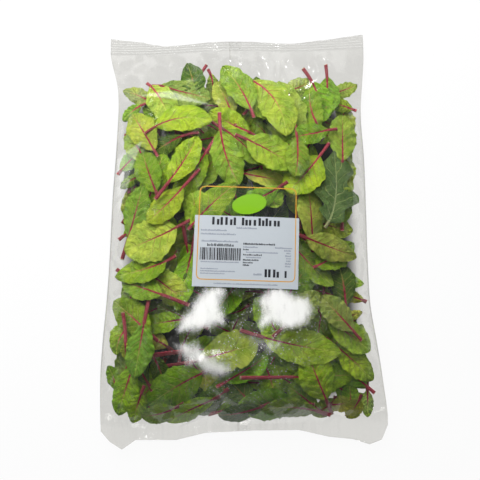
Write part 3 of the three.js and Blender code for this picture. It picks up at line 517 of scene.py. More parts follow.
def draw_traits(kind, draw):
    return {
        "fold": lerp(-0.16, 0.1, draw()),
        "wave": KINDS[kind]["wave"] * lerp(0.5, 1.1, draw()),
        "turns": lerp(0.9, 1.5, draw()),
        "phases": (draw(), draw()),
    }


def blade_half(leaf, share):
    oval = np.power(np.sin(np.pi * np.power(share, 0.85)), 0.7)
    lobes = 1 + KINDS[leaf["kind"]].get("lobes", 0) * np.sin(share * LOBE_TURNS)
    return np.maximum(TIP_HALF, leaf["width"] / 2 * oval * lobes)


class Midrib:
    """The curve of a leaf from its cut end to its tip, seen from above."""

    def __init__(self, leaf):
        self.end = np.array(leaf["end"], dtype=float)
        self.tip = np.array(leaf["tip"], dtype=float)
        middle = np.array(leaf["middle"], dtype=float)
        self.pull = 2 * middle - (self.end + self.tip) / 2
        self.length = math.hypot(*(middle - self.end)) + math.hypot(*(self.tip - middle))
        self.foot = min(0.7, max(0.04, leaf["stalk"] / self.length))

    def at(self, share):
        """Points and left-hand normals at shares of the length."""
        s = np.asarray(share, dtype=float)[..., None]
        point = (1 - s) * (1 - s) * self.end + 2 * s * (1 - s) * self.pull + s * s * self.tip
        ahead = (1 - s) * (self.pull - self.end) + s * (self.tip - self.pull)
        size = np.sqrt((ahead * ahead).sum(axis=-1, keepdims=True))
        normal = np.concatenate((-ahead[..., 1:], ahead[..., :1]), axis=-1) / size
        return point, normal


def edge_relief(leaf, half, blade, side):
    """Rise of a blade's edge: side 0 is its left edge and side 1 its right."""
    traits = leaf["traits"]
    swing = np.sin(2 * np.pi * (traits["turns"] * blade + traits["phases"][side]))
    return traits["fold"] * half + traits["wave"] * swing * np.minimum(1, 6 * blade)


def leaf_rows(leaf):
    """The rows of a leaf's solid: shares, points, normals, half widths, reliefs and depths."""
    rib = Midrib(leaf)
    rows = KINDS[leaf["kind"]].get("rows", BLADE_ROWS)
    share = np.array([0, rib.foot / 2, rib.foot] + [lerp(rib.foot, 1, row) for row in rows])
    point, normal = rib.at(share)
    blade = np.maximum(0, (share - rib.foot) / (1 - rib.foot))
    stalk_half = lerp(STALK_RADIUS, STALK_RADIUS * 0.9, share / rib.foot)
    on_blade = np.arange(len(share)) >= 3
    half = np.where(on_blade, blade_half(leaf, blade), stalk_half)
    relief = np.zeros((len(share), 3))
    relief[:, 0] = np.where(on_blade, edge_relief(leaf, half, blade, 0), 0)
    relief[:, 2] = np.where(on_blade, edge_relief(leaf, half, blade, 1), 0)
    depth = np.zeros((len(share), 3))
    depth[:, 1] = np.where(on_blade, BLADE_DEPTH + RIB_DEPTH * (1 - blade), STALK_DEPTH)
    depth[:, 0] = np.where(on_blade, BLADE_DEPTH, STALK_DEPTH / 2)
    depth[:, 2] = depth[:, 0]
    return {"share": share, "point": point, "normal": normal, "half": half,
            "relief": relief, "depth": depth}


def leaf_samples(rows):
    """Points spread over a leaf's solid, as arrays."""
    parts = []
    for k in range(len(rows["share"]) - 1):
        a, b = rows["point"][k], rows["point"][k + 1]
        half_a, half_b = rows["half"][k], rows["half"][k + 1]
        along = max(2, math.ceil(math.hypot(*(b - a)) / SAMPLE_STEP))
        across = max(2, math.ceil(2 * max(half_a, half_b) / SAMPLE_STEP))
        t = np.repeat(np.arange(along + 1) / along, across + 1)
        v = np.tile(1 - 2 * np.arange(across + 1) / across, along + 1)
        edge = np.where(v >= 0, 0, 2)
        out = np.abs(v)
        depth = rows["depth"]
        near = a + rows["normal"][k] * half_a * v[:, None]
        far = b + rows["normal"][k + 1] * half_b * v[:, None]
        place = near + (far - near) * t[:, None]
        depth_a = lerp(depth[k][1], depth[k][edge], out)
        depth_b = lerp(depth[k + 1][1], depth[k + 1][edge], out)
        parts.append((
            np.full(len(t), k), t, out, edge, place[:, 0], place[:, 1],
            lerp(rows["share"][k], rows["share"][k + 1], t), lerp(depth_a, depth_b, t),
        ))
    names = ("row", "t", "out", "edge", "x", "y", "share", "depth")
    return {name: np.concatenate(column) for name, column in zip(names, zip(*parts))}


def sample_heights(samples, levels):
    row, edge, out = samples["row"], samples["edge"], samples["out"]
    a = lerp(levels[row, 1], levels[row, edge], out)
    b = lerp(levels[row + 1, 1], levels[row + 1, edge], out)
    return lerp(a, b, samples["t"])


def terms(x, y):
    return np.stack((np.ones_like(x), x, y, x * x, x * y, y * y), axis=-1)


def fit_quadratic(x, y, value):
    """The least-squares quadratic over points, its curvature held back a little."""
    row = terms(x, y)
    matrix = row.T @ row
    matrix[range(3, 6), range(3, 6)] += 0.01 * len(x)
    matrix[range(6), range(6)] += 1e-6 * len(x)
    return np.linalg.solve(matrix, row.T @ value)


class Room:
    """The room left in the bag, for side 1, stacked down from the front, and -1, up from the
    back. A side's field holds side * height of what bounds the room, and whose it is."""

    def __init__(self):
        self.nx = round(2 * FIELD_HALF[0] / CELL)
        self.ny = round(2 * FIELD_HALF[1] / CELL)
        x = (np.arange(self.nx) + 0.5) * CELL - FIELD_HALF[0]
        y = (np.arange(self.ny) + 0.5) * CELL - FIELD_HALF[1]
        x, y = (grid.ravel() for grid in np.meshgrid(x, y))
        half = half_width(x, y) - FOLD_WALL
        front, back = face_heights(x / half, y, True)
        seam = np.where(np.abs(x) < LAP_HALF + 4, FILM_WALL + LAP_GAP, 0)
        lift = end_lift(x, y)
        inside = (np.abs(x) < half) & (y >= SEAL_INNER[0] + 2) & (y <= SEAL_INNER[1] - 2)
        self.field = {
            1: np.where(inside, front + lift - FILM_CLEAR, 2 * OUTSIDE),
            -1: np.where(inside, -(back + seam + lift + FILM_CLEAR), 2 * OUTSIDE),
        }
        self.owner = {side: np.full(len(x), -1) for side in (1, -1)}
        self.covered = np.zeros(len(x), dtype=bool)

    def cells(self, x, y):
        i = np.clip(np.floor((x + FIELD_HALF[0]) / CELL), 1, self.nx - 2).astype(int)
        j = np.clip(np.floor((y + FIELD_HALF[1]) / CELL), 1, self.ny - 2).astype(int)
        return j * self.nx + i

    def place(self, cell):
        x = (cell % self.nx + 0.5) * CELL - FIELD_HALF[0]
        y = (cell // self.nx + 0.5) * CELL - FIELD_HALF[1]
        return x, y

    def gaps(self):
        """Cells well inside the bag that no leaf covers."""
        x, y = self.place(np.arange(self.nx * self.ny))
        within = (np.abs(x) < half_width(x, y) - GAP_MARGIN) & (y > GAP_RANGE[0]) & (y < GAP_RANGE[1])
        return np.flatnonzero(within & ~self.covered)

    def add(self, side, samples, heights, owner):
        level = side * heights - samples["depth"] / 2
        middle = self.cells(samples["x"], samples["y"])
        self.covered[middle] = True
        lowest = np.full(len(self.field[side]), np.inf)
        for dj in (-1, 0, 1):
            for di in (-1, 0, 1):
                np.minimum.at(lowest, middle + dj * self.nx + di, level)
        closer = lowest < self.field[side]
        self.field[side][closer] = lowest[closer]
        self.owner[side][closer] = owner


def face_over(node, x, y, side):
    """The level of a node's face over a point, on one side of the room, or None beside it."""
    nearest = LEAN_TOUCH * LEAN_TOUCH
    level = None
    for laid in node["leaves"]:
        samples = laid["samples"]
        away = (samples["x"] - x) ** 2 + (samples["y"] - y) ** 2
        n = int(np.argmin(away))
        if away[n] < nearest:
            nearest = away[n]
            level = side * laid["heights"][n] - samples["depth"][n] / 2
    return level


def find_lean(room, nodes, rows, samples, cells, heights, side):
    """The bend (lift, middle, node) that leans a leaf on one of its side, or None."""
    near = room.field[side][cells]
    owners = room.owner[side][cells]
    share, row = samples["share"], samples["row"]

    def weigh(middle, chosen=slice(None)):
        weight = np.maximum(0, 1 - np.abs(rows["share"] - middle) / LEAN_REACH)
        return lerp(weight[row[chosen]], weight[row[chosen] + 1], samples["t"][chosen])

    found = []
    for n in np.flatnonzero((samples["out"] <= 0.4) & (owners >= 0)):
        own = weigh(share[n], n)
        base = heights[n] + samples["depth"][n] / 2
        if (near[n] - base + LEAN_BITE) / own >= LEAN_LIMIT:
            continue
        level = face_over(nodes[owners[n]], samples["x"][n], samples["y"][n], side)
        if level is None:
            continue
        lift = (level - base + LEAN_BITE) / own
        if lift < LEAN_LIMIT:
            found.append((lift, share[n], owners[n]))
    found.sort(key=lambda entry: entry[0])
    for lift, middle, node in found[:LEAN_CHOICES]:
        top = heights + lift * weigh(middle) + samples["depth"] / 2 + LEAN_CLEAR
        if not ((owners != node) & (top > near)).any():
            return lift, middle, node
    return None


def lay_leaf(room, nodes, leaf, side, lean, bare, gap=LEAF_GAP, clear=LEAN_CLEAR):
    """Lays a leaf against one side of the room, or returns None where it doesn't fit."""
    rows = leaf_rows(leaf)
    samples = leaf_samples(rows)
    cells = room.cells(samples["x"], samples["y"])
    near = room.field[side][cells]
    far = room.field[-side][cells]
    if (near < OUTSIDE).any():
        return None
    if (room.owner[side][cells] < 0).sum() < bare * len(cells):
        return None
    ox, oy = rows["point"][4]
    relief = sample_heights(samples, rows["relief"])
    goal = near - samples["depth"] / 2 - gap - relief
    fit = fit_quadratic((samples["x"] - ox) / FIT_SCALE, (samples["y"] - oy) / FIT_SCALE, goal)
    levels = np.zeros((len(rows["share"]), 3))
    for edge, v in enumerate((1, 0, -1)):
        place = rows["point"] + rows["normal"] * rows["half"][:, None] * v
        plane = terms((place[:, 0] - ox) / FIT_SCALE, (place[:, 1] - oy) / FIT_SCALE) @ fit
        levels[:, edge] = plane + rows["relief"][:, edge]
    heights = sample_heights(samples, levels)
    sink = (heights + samples["depth"] / 2 + gap - near).max()
    heights = heights - sink
    best = find_lean(room, nodes, rows, samples, cells, heights, side) if lean else None
    if lean and best is None:
        return None
    lift = np.zeros(len(rows["share"]))
    if best:
        lift = best[0] * np.maximum(0, 1 - np.abs(rows["share"] - best[1]) / LEAN_REACH)
    levels = levels - sink + lift[:, None]
    heights = sample_heights(samples, levels)
    if (-heights + samples["depth"] / 2 + clear > far).any():
        return None
    return {
        "leaf": leaf, "rows": rows, "samples": samples, "side": side,
        "node": best[2] if best else -1, "heights": side * heights, "levels": side * levels,
        "fit": fit, "origin": (ox, oy), "sink": sink, "lift": lift,
    }


def slide_leaf(room, nodes, leaf, side, lean, gap=LEAF_GAP, clear=LEAN_CLEAR):
    """Lays a leaf, slid towards the middle and made smaller by the least that fits it."""
    mx, my = leaf["middle"]
    for step in range(SLIDE_STEPS + 1):
        size = 1 - SHRINK * step
        aside = np.sign(mx) * step * SLIDE
        along = np.sign(my) * step * SLIDE * ease(90, 150, abs(my))

        def slide(point):
            return (mx + (point[0] - mx) * size - aside, my + (point[1] - my) * size - along)

        moved = dict(leaf, width=leaf["width"] * size, stalk=leaf["stalk"] * size)
        for name in ("end", "middle", "tip"):
            moved[name] = slide(leaf[name])
        laid = lay_leaf(room, nodes, moved, side, lean, 0, gap, clear)
        if laid:
            return laid
    return None


def random_leaf(draw):
    """A leaf drawn at random: its middle anywhere in the bag, at any turn."""
    kind = (MID, BRIGHT, LIGHT, DARK, MID, GREY)[math.floor(draw() * 6)]
    x = lerp(*RANDOM_ACROSS, draw())
    y = lerp(*RANDOM_ALONG, draw())
    turn = 2 * math.pi * draw()
    blade = lerp(*RANDOM_BLADE, draw())
    stalk = lerp(*RANDOM_STALK, draw() * draw())
    width = blade * lerp(*RANDOM_WIDTH, draw())
    reach = (blade + stalk) / 2
    bow = lerp(*RANDOM_BOW, draw())
    dx, dy = math.cos(turn), math.sin(turn)
    return {
        "kind": kind,
        "end": (x - dx * reach, y - dy * reach),
        "middle": (x - dy * bow, y + dx * bow),
        "tip": (x + dx * reach, y + dy * reach),
        "width": width,
        "stalk": stalk,
        "traits": draw_traits(kind, draw),
    }


def soften(grid, reach):
    """Each cell's mean over its neighbours, along both sides of the grid."""
    for axis in (0, 1):
        grid = sum(np.roll(grid, step, axis) for step in range(-reach, reach + 1)) / (2 * reach + 1)
    return grid


def soft_surface(room, share):
    """A soft surface between the two piles, at a share of the room behind the front one."""
    within = (room.field[1] > OUTSIDE).reshape(room.ny, room.nx).astype(float)
    level = lerp(room.field[1], -room.field[-1], share).reshape(room.ny, room.nx)
    return soften(level * within, DRAPE_REACH) / np.maximum(1e-6, soften(within, DRAPE_REACH))


def surface_level(surface, x, y):
    """A surface's level between its cells."""
    i = np.clip((x + FIELD_HALF[0]) / CELL - 0.5, 0, surface.shape[1] - 1.001)
    j = np.clip((y + FIELD_HALF[1]) / CELL - 0.5, 0, surface.shape[0] - 1.001)
    i0, j0 = np.floor(i).astype(int), np.floor(j).astype(int)
    low = lerp(surface[j0, i0], surface[j0, i0 + 1], i - i0)
    high = lerp(surface[j0 + 1, i0], surface[j0 + 1, i0 + 1], i - i0)
    return lerp(low, high, j - j0)


def drape_leaf(room, leaf, share):
    """Lays a leaf softly between the two piles, or returns None where it doesn't fit."""
    rows = leaf_rows(leaf)
    samples = leaf_samples(rows)
    cells = room.cells(samples["x"], samples["y"])
    near = room.field[1][cells]
    if (near < OUTSIDE).any():
        return None
    surface = soft_surface(room, share)
    relief = DRAPE_RELIEF * sample_heights(samples, rows["relief"])
    heights = surface_level(surface, samples["x"], samples["y"]) + relief
    above = heights + samples["depth"] / 2 > near + DRAPE_BITE
    below = heights - samples["depth"] / 2 < -room.field[-1][cells] - DRAPE_BITE
    if (above | below).mean() > DRAPE_MISFIT:
        return None
    return {"leaf": leaf, "rows": rows, "samples": samples, "side": 1, "node": -1,
            "heights": heights, "surface": surface}


def fill_bag():
    """The leaves of the solids, as nodes, and further loose ones: (nodes, loose leaves)."""
    room = Room()
    draw = Draw(SEED)
    nodes = []
    missed = []

    def keep(laid, side, name):
        if laid["node"] < 0:
            nodes.append({"name": name, "leaves": []})
        index = len(nodes) - 1 if laid["node"] < 0 else laid["node"]
        nodes[index]["leaves"].append(laid)
        room.add(side, laid["samples"], laid["heights"], index)

    def read_leaf(row):
        kind, ex, ey, mx, my, tx, ty, width, stalk = row
        return {"kind": kind, "end": (ex, ey), "middle": (mx, my), "tip": (tx, ty),
                "width": width, "stalk": stalk, "traits": draw_traits(kind, draw)}

    for row in FRONT_LEAVES:
        leaf = read_leaf(row)
        lean = len(nodes) >= LOOSE_NODES_FRONT
        laid = slide_leaf(room, nodes, leaf, 1, lean)
        if not laid and lean and len(nodes) < OWN_NODES_FRONT:
            laid = slide_leaf(room, nodes, leaf, 1, False)
        if laid:
            keep(laid, 1, f"front_leaf_{len(nodes) + 1:02d}")
        else:
            missed.append(leaf)

    def scatter(side, wanted, lean, bare):
        done = 0
        for _ in range(MAX_TRIES):
            if done >= wanted:
                break
            laid = lay_leaf(room, nodes, random_leaf(draw), side, lean, bare)
            if laid:
                done += 1
                keep(laid, side, f"back_leaf_{done:02d}")

    scatter(1, FRONT_EXTRA, True, 0.3)
    scatter(-1, OWN_NODES_BACK, False, 0.85)
    scatter(-1, BACK_EXTRA, True, 0.3)

    # A joined solid keeps only its main body, so what fell off it is loose here.
    loose = []
    for node in nodes:
        scraps = SCRAPS.get(node["name"], ())
        loose += [laid for n, laid in enumerate(node["leaves"]) if n in scraps]
        node["leaves"] = [laid for n, laid in enumerate(node["leaves"]) if n not in scraps]

    def add_loose(laid, side):
        loose.append(laid)
        room.add(side, laid["samples"], laid["heights"], len(nodes))

    for leaf in [read_leaf(row) for row in LOOSE_LEAVES] + missed:
        laid = slide_leaf(room, nodes, leaf, 1, False, LOOSE_GAP, LOOSE_CLEAR)
        if laid:
            add_loose(laid, 1)
    for side, wanted in LOOSE_ROUNDS:
        done = 0
        for _ in range(LOOSE_TRIES):
            if done >= wanted:
                break
            laid = lay_leaf(room, nodes, random_leaf(draw), side, False, 0, LOOSE_GAP, LOOSE_CLEAR)
            if laid:
                done += 1
                add_loose(laid, side)
    for _ in range(GAP_TRIES):
        gaps = room.gaps()
        if not len(gaps):
            break
        leaf = random_leaf(draw)
        size = lerp(*GAP_SIZES, draw())
        gx, gy = room.place(gaps[math.floor(draw() * len(gaps))])
        gx += lerp(-GAP_STRAY, GAP_STRAY, draw())
        gy += lerp(-GAP_STRAY, GAP_STRAY, draw())
        mx, my = leaf["middle"]
        share = lerp(*DRAPE_SHARES, draw())
        for step in range(GAP_STEPS):
            inward = 1 - step * GAP_PULL
            moved = dict(leaf, width=leaf["width"] * size, stalk=leaf["stalk"] * size)
            for name in ("end", "middle", "tip"):
                moved[name] = (gx * inward + (leaf[name][0] - mx) * size,
                               gy * inward + (leaf[name][1] - my) * size)
            laid = drape_leaf(room, moved, share)
            if laid:
                add_loose(laid, 1)
                break
    for row in TOP_LEAVES:
        laid = slide_leaf(Room(), nodes, read_leaf(row), 1, False, LOOSE_GAP, LOOSE_CLEAR)
        if laid:
            add_loose(laid, 1)
    return nodes, loose


# ---------------------------------------------------------------- fine forms


def lattice_noise(x, y, seed):
    """Smooth noise from -1 to 1 with a unit cell."""
    table = np.random.default_rng(seed).uniform(-1, 1, (64, 64))
    i, j = np.floor(x).astype(int), np.floor(y).astype(int)
    u, v = x - i, y - j
    u, v = u * u * (3 - 2 * u), v * v * (3 - 2 * v)
    low = lerp(table[i % 64, j % 64], table[(i + 1) % 64, j % 64], u)
    high = lerp(table[i % 64, (j + 1) % 64], table[(i + 1) % 64, (j + 1) % 64], u)
    return lerp(low, high, v)


def creases(x, y, seed):
    """Narrow ridges from 0 to 1 along the zero lines of a warped noise."""
    warp = 0.6 * lattice_noise(x * 0.7 + 9, y * 0.7, seed + 1)
    return np.power(1 - np.minimum(1, 2.2 * np.abs(lattice_noise(x + warp, y - warp, seed))), 2)


def to_label(x, y):
    turn = math.radians(LABEL_TURN)
    dx, dy = x - LABEL_CENTER[0], y - LABEL_CENTER[1]
    return dx * math.cos(turn) + dy * math.sin(turn), dy * math.cos(turn) - dx * math.sin(turn)


def from_label(x, y):
    turn = math.radians(LABEL_TURN)
    return (LABEL_CENTER[0] + x * math.cos(turn) - y * math.sin(turn),
            LABEL_CENTER[1] + x * math.sin(turn) + y * math.cos(turn))


def film_dents(x, y, seed, depth):
    """How far a film face is pressed in from its smooth form, and how sharply it is creased."""
    ends = np.maximum(ease(105, 175, y), ease(-130, -172, y))
    sides = ease(0.72, 1, np.abs(x) / half_width(x, y))
    lumps = lattice_noise(x / 21, y / 24, seed) + 0.45 * lattice_noise(x / 8, y / 9, seed + 3)
    pleats = creases(x / 13, y / 46, seed + 5) + 0.6 * creases(x / 6, y / 30, seed + 7)
    folds = creases((x + y) / 30, (x - y) / 34, seed + 9) + creases(x / 22, y / 17, seed + 11)
    soft = 0.5 + 0.5 * np.clip(lumps / 1.3, -1, 1)
    slack = np.maximum(ends, sides)
    press = depth * (0.22 + 0.5 * slack) * soft
    press = press + depth * (0.9 * ends * pleats + (0.12 + 0.7 * slack) * folds)
    still = 1 - 0.6 * np.exp(-(((x - TAUT_SPOT[0]) / TAUT_REACH[0]) ** 2
                               + ((y - TAUT_SPOT[1]) / TAUT_REACH[1]) ** 2))
    lx, ly = to_label(x, y)
    beside = np.maximum(np.abs(lx) - LABEL_WIDTH / 2, np.abs(ly) - LABEL_LENGTH / 2)
    sharp = np.clip(0.75 * ends * pleats + (0.2 + 0.7 * slack) * folds, 0, 1)
    return press * still * ease(-1, 9, beside), sharp * ease(-1, 9, beside)


def in_fold(x, y, corners):
    """The middle of a fold's three corners, and how far each place is in it, from 0 to 1."""
    mx, my = np.mean(corners, axis=0)
    inside = np.full(len(x), np.inf)
    for n in range(3):
        (ax, ay), (bx, by) = corners[n], corners[(n + 1) % 3]
        reach = math.hypot(bx - ax, by - ay)
        off = ((bx - ax) * (y - ay) - (by - ay) * (x - ax)) / reach
        middle_off = ((bx - ax) * (my - ay) - (by - ay) * (mx - ax)) / reach
        inside = np.minimum(inside, off * np.sign(middle_off))
    return mx, my, ease(-FOLD_EDGE, 0, inside)


def in_patch(x, y, corners):
    """How far each place is in a closed outline, from 0 well outside to 1 well inside."""
    away = np.full(len(x), np.inf)
    inside = np.zeros(len(x), dtype=bool)
    for (ax, ay), (bx, by) in zip(corners, corners[1:] + corners[:1]):
        dx, dy = bx - ax, by - ay
        share = np.clip(((x - ax) * dx + (y - ay) * dy) / (dx * dx + dy * dy), 0, 1)
        away = np.minimum(away, np.hypot(x - ax - share * dx, y - ay - share * dy))
        inside ^= ((ay > y) != (by > y)) & (x < ax + dx * (y - ay) / (dy or 1))
    return ease(-MIST_AND_GLARE_SOFT, MIST_AND_GLARE_SOFT, np.where(inside, away, -away))


def mist_and_glare_level(x, y):
    level = np.zeros(len(x))
    for corners, strength in MIST_AND_GLARE_PATCHES:
        level = np.maximum(level, strength * in_patch(x, y, corners))
    return level


def work_folds(x, y, height, sharp):
    """The film's height and creases (0 to 1, and 1 to 2 for a fold with painted sheen) with its folds
    worked in.
    """
    for corners, (across, along) in FLAT_FOLDS:
        mx, my, share = in_fold(x, y, corners)
        level = label_level(mx, my) - LABEL_CLEAR - FOLD_SINK
        height = lerp(height, level + across * (x - mx) + along * (y - my), share)
        sharp = lerp(sharp, 0, share)
    # Folds with a painted sheen, marked as creases from 1 to 2.
    for corners, strength in PAINTED_SHEEN_FOLDS:
        sharp = np.maximum(sharp, (1 + strength) * in_fold(x, y, corners)[2])
    return height, sharp


def film_face(x, y, front, depth):
    """Height of the dented outer face of the film, and its creases."""
    half = half_width(x, y)
    top, bottom = face_heights(x / half, y, False)
    flat = top - bottom
    if front:
        dents, sharp = film_dents(x, y, FRONT_SEED, depth)
        return work_folds(x, y, top + end_lift(x, y) - np.minimum(dents, flat * 0.3), sharp)
    dents, sharp = film_dents(x, y, BACK_SEED, depth * 0.5)
    return bottom + end_lift(x, y) + np.minimum(dents, flat * 0.12), sharp


# ---------------------------------------------------------------- meshes


def unit_grid(name, columns, rows, closed=False):
    """A flat grid from 0 to 1 along X and from -1 to 1 along Y, with two faces if closed."""
    bpy.ops.object.select_all(action="DESELECT")
    bpy.ops.mesh.primitive_grid_add(x_subdivisions=columns, y_subdivisions=rows, size=2)
    grid = bpy.context.object
    grid.name = name
    if closed:
        modifier = grid.modifiers.new("Thickness", "SOLIDIFY")
        modifier.thickness = 0.2
        modifier.offset = 0
        bpy.ops.object.modifier_apply(modifier=modifier.name)
    bpy.ops.object.shade_smooth_by_angle(angle=math.radians(60))
    place = points_of(grid.data)
    place[:, 0] = (place[:, 0] + 1) / 2
    set_points(grid.data, place)
    return grid


def copy_of(template, name):
    piece = template.copy()
    piece.data = template.data.copy()
    piece.name = name
    piece.data.name = name
    bpy.context.collection.objects.link(piece)
    return piece


def points_of(mesh):
    values = np.empty(len(mesh.vertices) * 3, dtype=np.float32)
    mesh.vertices.foreach_get("co", values)
    return values.reshape(-1, 3).astype(float)


def set_points(mesh, places):
    mesh.vertices.foreach_set("co", np.ascontiguousarray(places, dtype=np.float32).ravel())
    mesh.update()


def set_uv(mesh, u, v):
    layer = mesh.uv_layers.get("UVMap") or mesh.uv_layers.new(name="UVMap")
    corner = np.empty(len(mesh.loops), dtype=np.int32)
    mesh.loops.foreach_get("vertex_index", corner)
    layer.data.foreach_set("uv", np.stack((u[corner], v[corner]), axis=-1).astype(np.float32).ravel())


def set_float(mesh, name, values):
    attribute = mesh.attributes.new(name, "FLOAT", "POINT")
    attribute.data.foreach_set("value", np.broadcast_to(values, len(mesh.vertices)).astype(np.float32))


def set_color(mesh, name, color):
    attribute = mesh.attributes.new(name, "FLOAT_COLOR", "POINT")
    row = np.array([*color[:3], 1], dtype=np.float32)
    attribute.data.foreach_set("color", np.tile(row, len(mesh.vertices)))


def join(objects, name):
    """Joins objects into the first, under a new name."""
    bpy.ops.object.select_all(action="DESELECT")
    for piece in objects:
        piece.select_set(True)
    bpy.context.view_layer.objects.active = objects[0]
    if len(objects) > 1:
        bpy.ops.object.join()
    objects[0].name = name
    objects[0].data.name = name
    return objects[0]


def remove(*objects):
    for gone in objects:
        mesh = gone.data
        bpy.data.objects.remove(gone)
        bpy.data.meshes.remove(mesh)


# ---------------------------------------------------------------- film


def build_film(settings):
    """One sheet of film rolled into a tube, lapped along the back and pressed flat at its ends."""
    bag = unit_grid("fine_film", settings.columns, settings.rows)
    place = points_of(bag.data)
    around, along = place[:, 0], (place[:, 1] + 1) / 2

    # Around the section: back from the lap to the left fold, front, back to the lap again.
    back_left = around < BACK_SHARE
    front = (around >= BACK_SHARE) & (around <= 1 - BACK_SHARE)
    to_fold = np.where(back_left, around / BACK_SHARE, (1 - around) / BACK_SHARE)
    foot_share = np.clip(along / SEAL_SHARE, 0, 1)
    head_share = np.clip((along - (1 - SEAL_SHARE)) / SEAL_SHARE, 0, 1)
    inner_y = lerp(*SEAL_INNER, np.clip((along - SEAL_SHARE) / (1 - 2 * SEAL_SHARE), 0, 1))
    half_left = through(LEFT_EDGE, inner_y)
    half_right = through(RIGHT_EDGE, inner_y)
    sweep = np.sin((around - 0.5) * 2 * np.pi)
    front_x = np.where(sweep < 0, sweep * half_left, sweep * half_right)
    out = np.power(to_fold, 0.9)
    left_x = lerp(LAP_HALF, -half_left, out)
    right_x = lerp(-LAP_HALF, half_right, out)
    x = np.where(front, front_x, np.where(back_left, left_x, right_x))
    foot_y = lerp(np.interp(x, *np.transpose(BOTTOM_EDGE)), SEAL_INNER[0], foot_share)
    head_y = lerp(SEAL_INNER[1], np.interp(x, *np.transpose(TOP_EDGE)), head_share)
    y = np.where(along < SEAL_SHARE, foot_y, np.where(along > 1 - SEAL_SHARE, head_y, inner_y))

    depth = settings.dent / MM
    top, top_creases = film_face(x, inner_y, True, depth)
    bottom, bottom_creases = film_face(x, inner_y, False, depth)
    lap = np.where(back_left, (settings.film_gap / MM) * ease(-LAP_HALF - 4, -LAP_HALF, x), 0)
    z = np.where(front, top, bottom + lap)

    # In the seals both layers lie together along a common wave, with fine crimp ridges.
    pressed = np.maximum(ease(0.12, 0, foot_share), ease(0, 0.12, head_share))
    into = np.where(along < 0.5, SEAL_INNER[0] - y, y - SEAL_INNER[1])
    ridges = settings.crimp / MM * np.sin(2 * np.pi * into / (settings.crimp_pitch / MM))
    middle = end_lift(x, y) + FLAT_HEIGHT / 2
    edge_wave = SEAL_WAVE * lattice_noise(x / 9, y / 30, SEAL_SEED) * ease(2, 12, into)
    layer = np.where(front, LAYER_HALF_GAP, -LAYER_HALF_GAP)
    sealed = middle + ridges * ease(1, 3, into) + edge_wave + layer
    z = lerp(z, sealed, pressed)
    set_points(bag.data, np.column_stack((x, y, z)) * MM)
    set_uv(bag.data, around, along)
    set_float(bag.data, "sealed", pressed)
    # Creases and slack folds, which the film's finish paints with a pale sheen.
    set_float(bag.data, "crease", np.where(front, top_creases, bottom_creases) * (1 - 0.5 * pressed))
    set_float(bag.data, "lapped", np.where(back_left, ease(-LAP_HALF, -LAP_HALF + 0.6, x), 0))
    # The misted patches on the front, where a painted glare lies.
    set_float(bag.data, "mist_and_glare", np.where(front, mist_and_glare_level(x, inner_y), 0))
    # The crimp ridges of the seals, which the finish paints with a pale sheen.
    set_float(bag.data, "ridge", pressed * np.sin(2 * np.pi * into / (settings.crimp_pitch / MM)))
    return bag


# ---------------------------------------------------------------- label


def label_level(x, y):
    half = half_width(x, y)
    top, _ = face_heights(x / half, y, False)
    return top + end_lift(x, y) + LABEL_CLEAR


def lay_on_label(piece, x, y, level):
    """Puts a piece's points, given across the label, on the label's curved face."""
    world_x, world_y = from_label(x, y)
    height = label_level(world_x, world_y) + level
    set_points(piece.data, np.column_stack((world_x, world_y, height)) * MM)


def rounded_path(share, box, radius):
    """Points and outward normals round a box (x0, y0, x1, y1) with rounded corners."""
    x0, y0, x1, y1 = box
    corners = ((x1, y1, 0), (x0, y1, 90), (x0, y0, 180), (x1, y0, 270))
    place, outward = [], []
    for cx, cy, start in corners:
        inner_x = cx - radius if cx == x1 else cx + radius
        inner_y = cy - radius if cy == y1 else cy + radius
        for step in range(CORNER_STEPS + 1):
            angle = math.radians(start + step * 90 / CORNER_STEPS)
            normal = (math.cos(angle), math.sin(angle))
            outward.append(normal)
            place.append((inner_x + radius * normal[0], inner_y + radius * normal[1]))
    place.append(place[0])
    outward.append(outward[0])
    place, outward = np.array(place), np.array(outward)
    reach = np.concatenate(([0], np.cumsum(np.hypot(*np.diff(place, axis=0).T))))
    at = share * reach[-1]
    return [np.interp(at, reach, column) for column in (*place.T, *outward.T)]


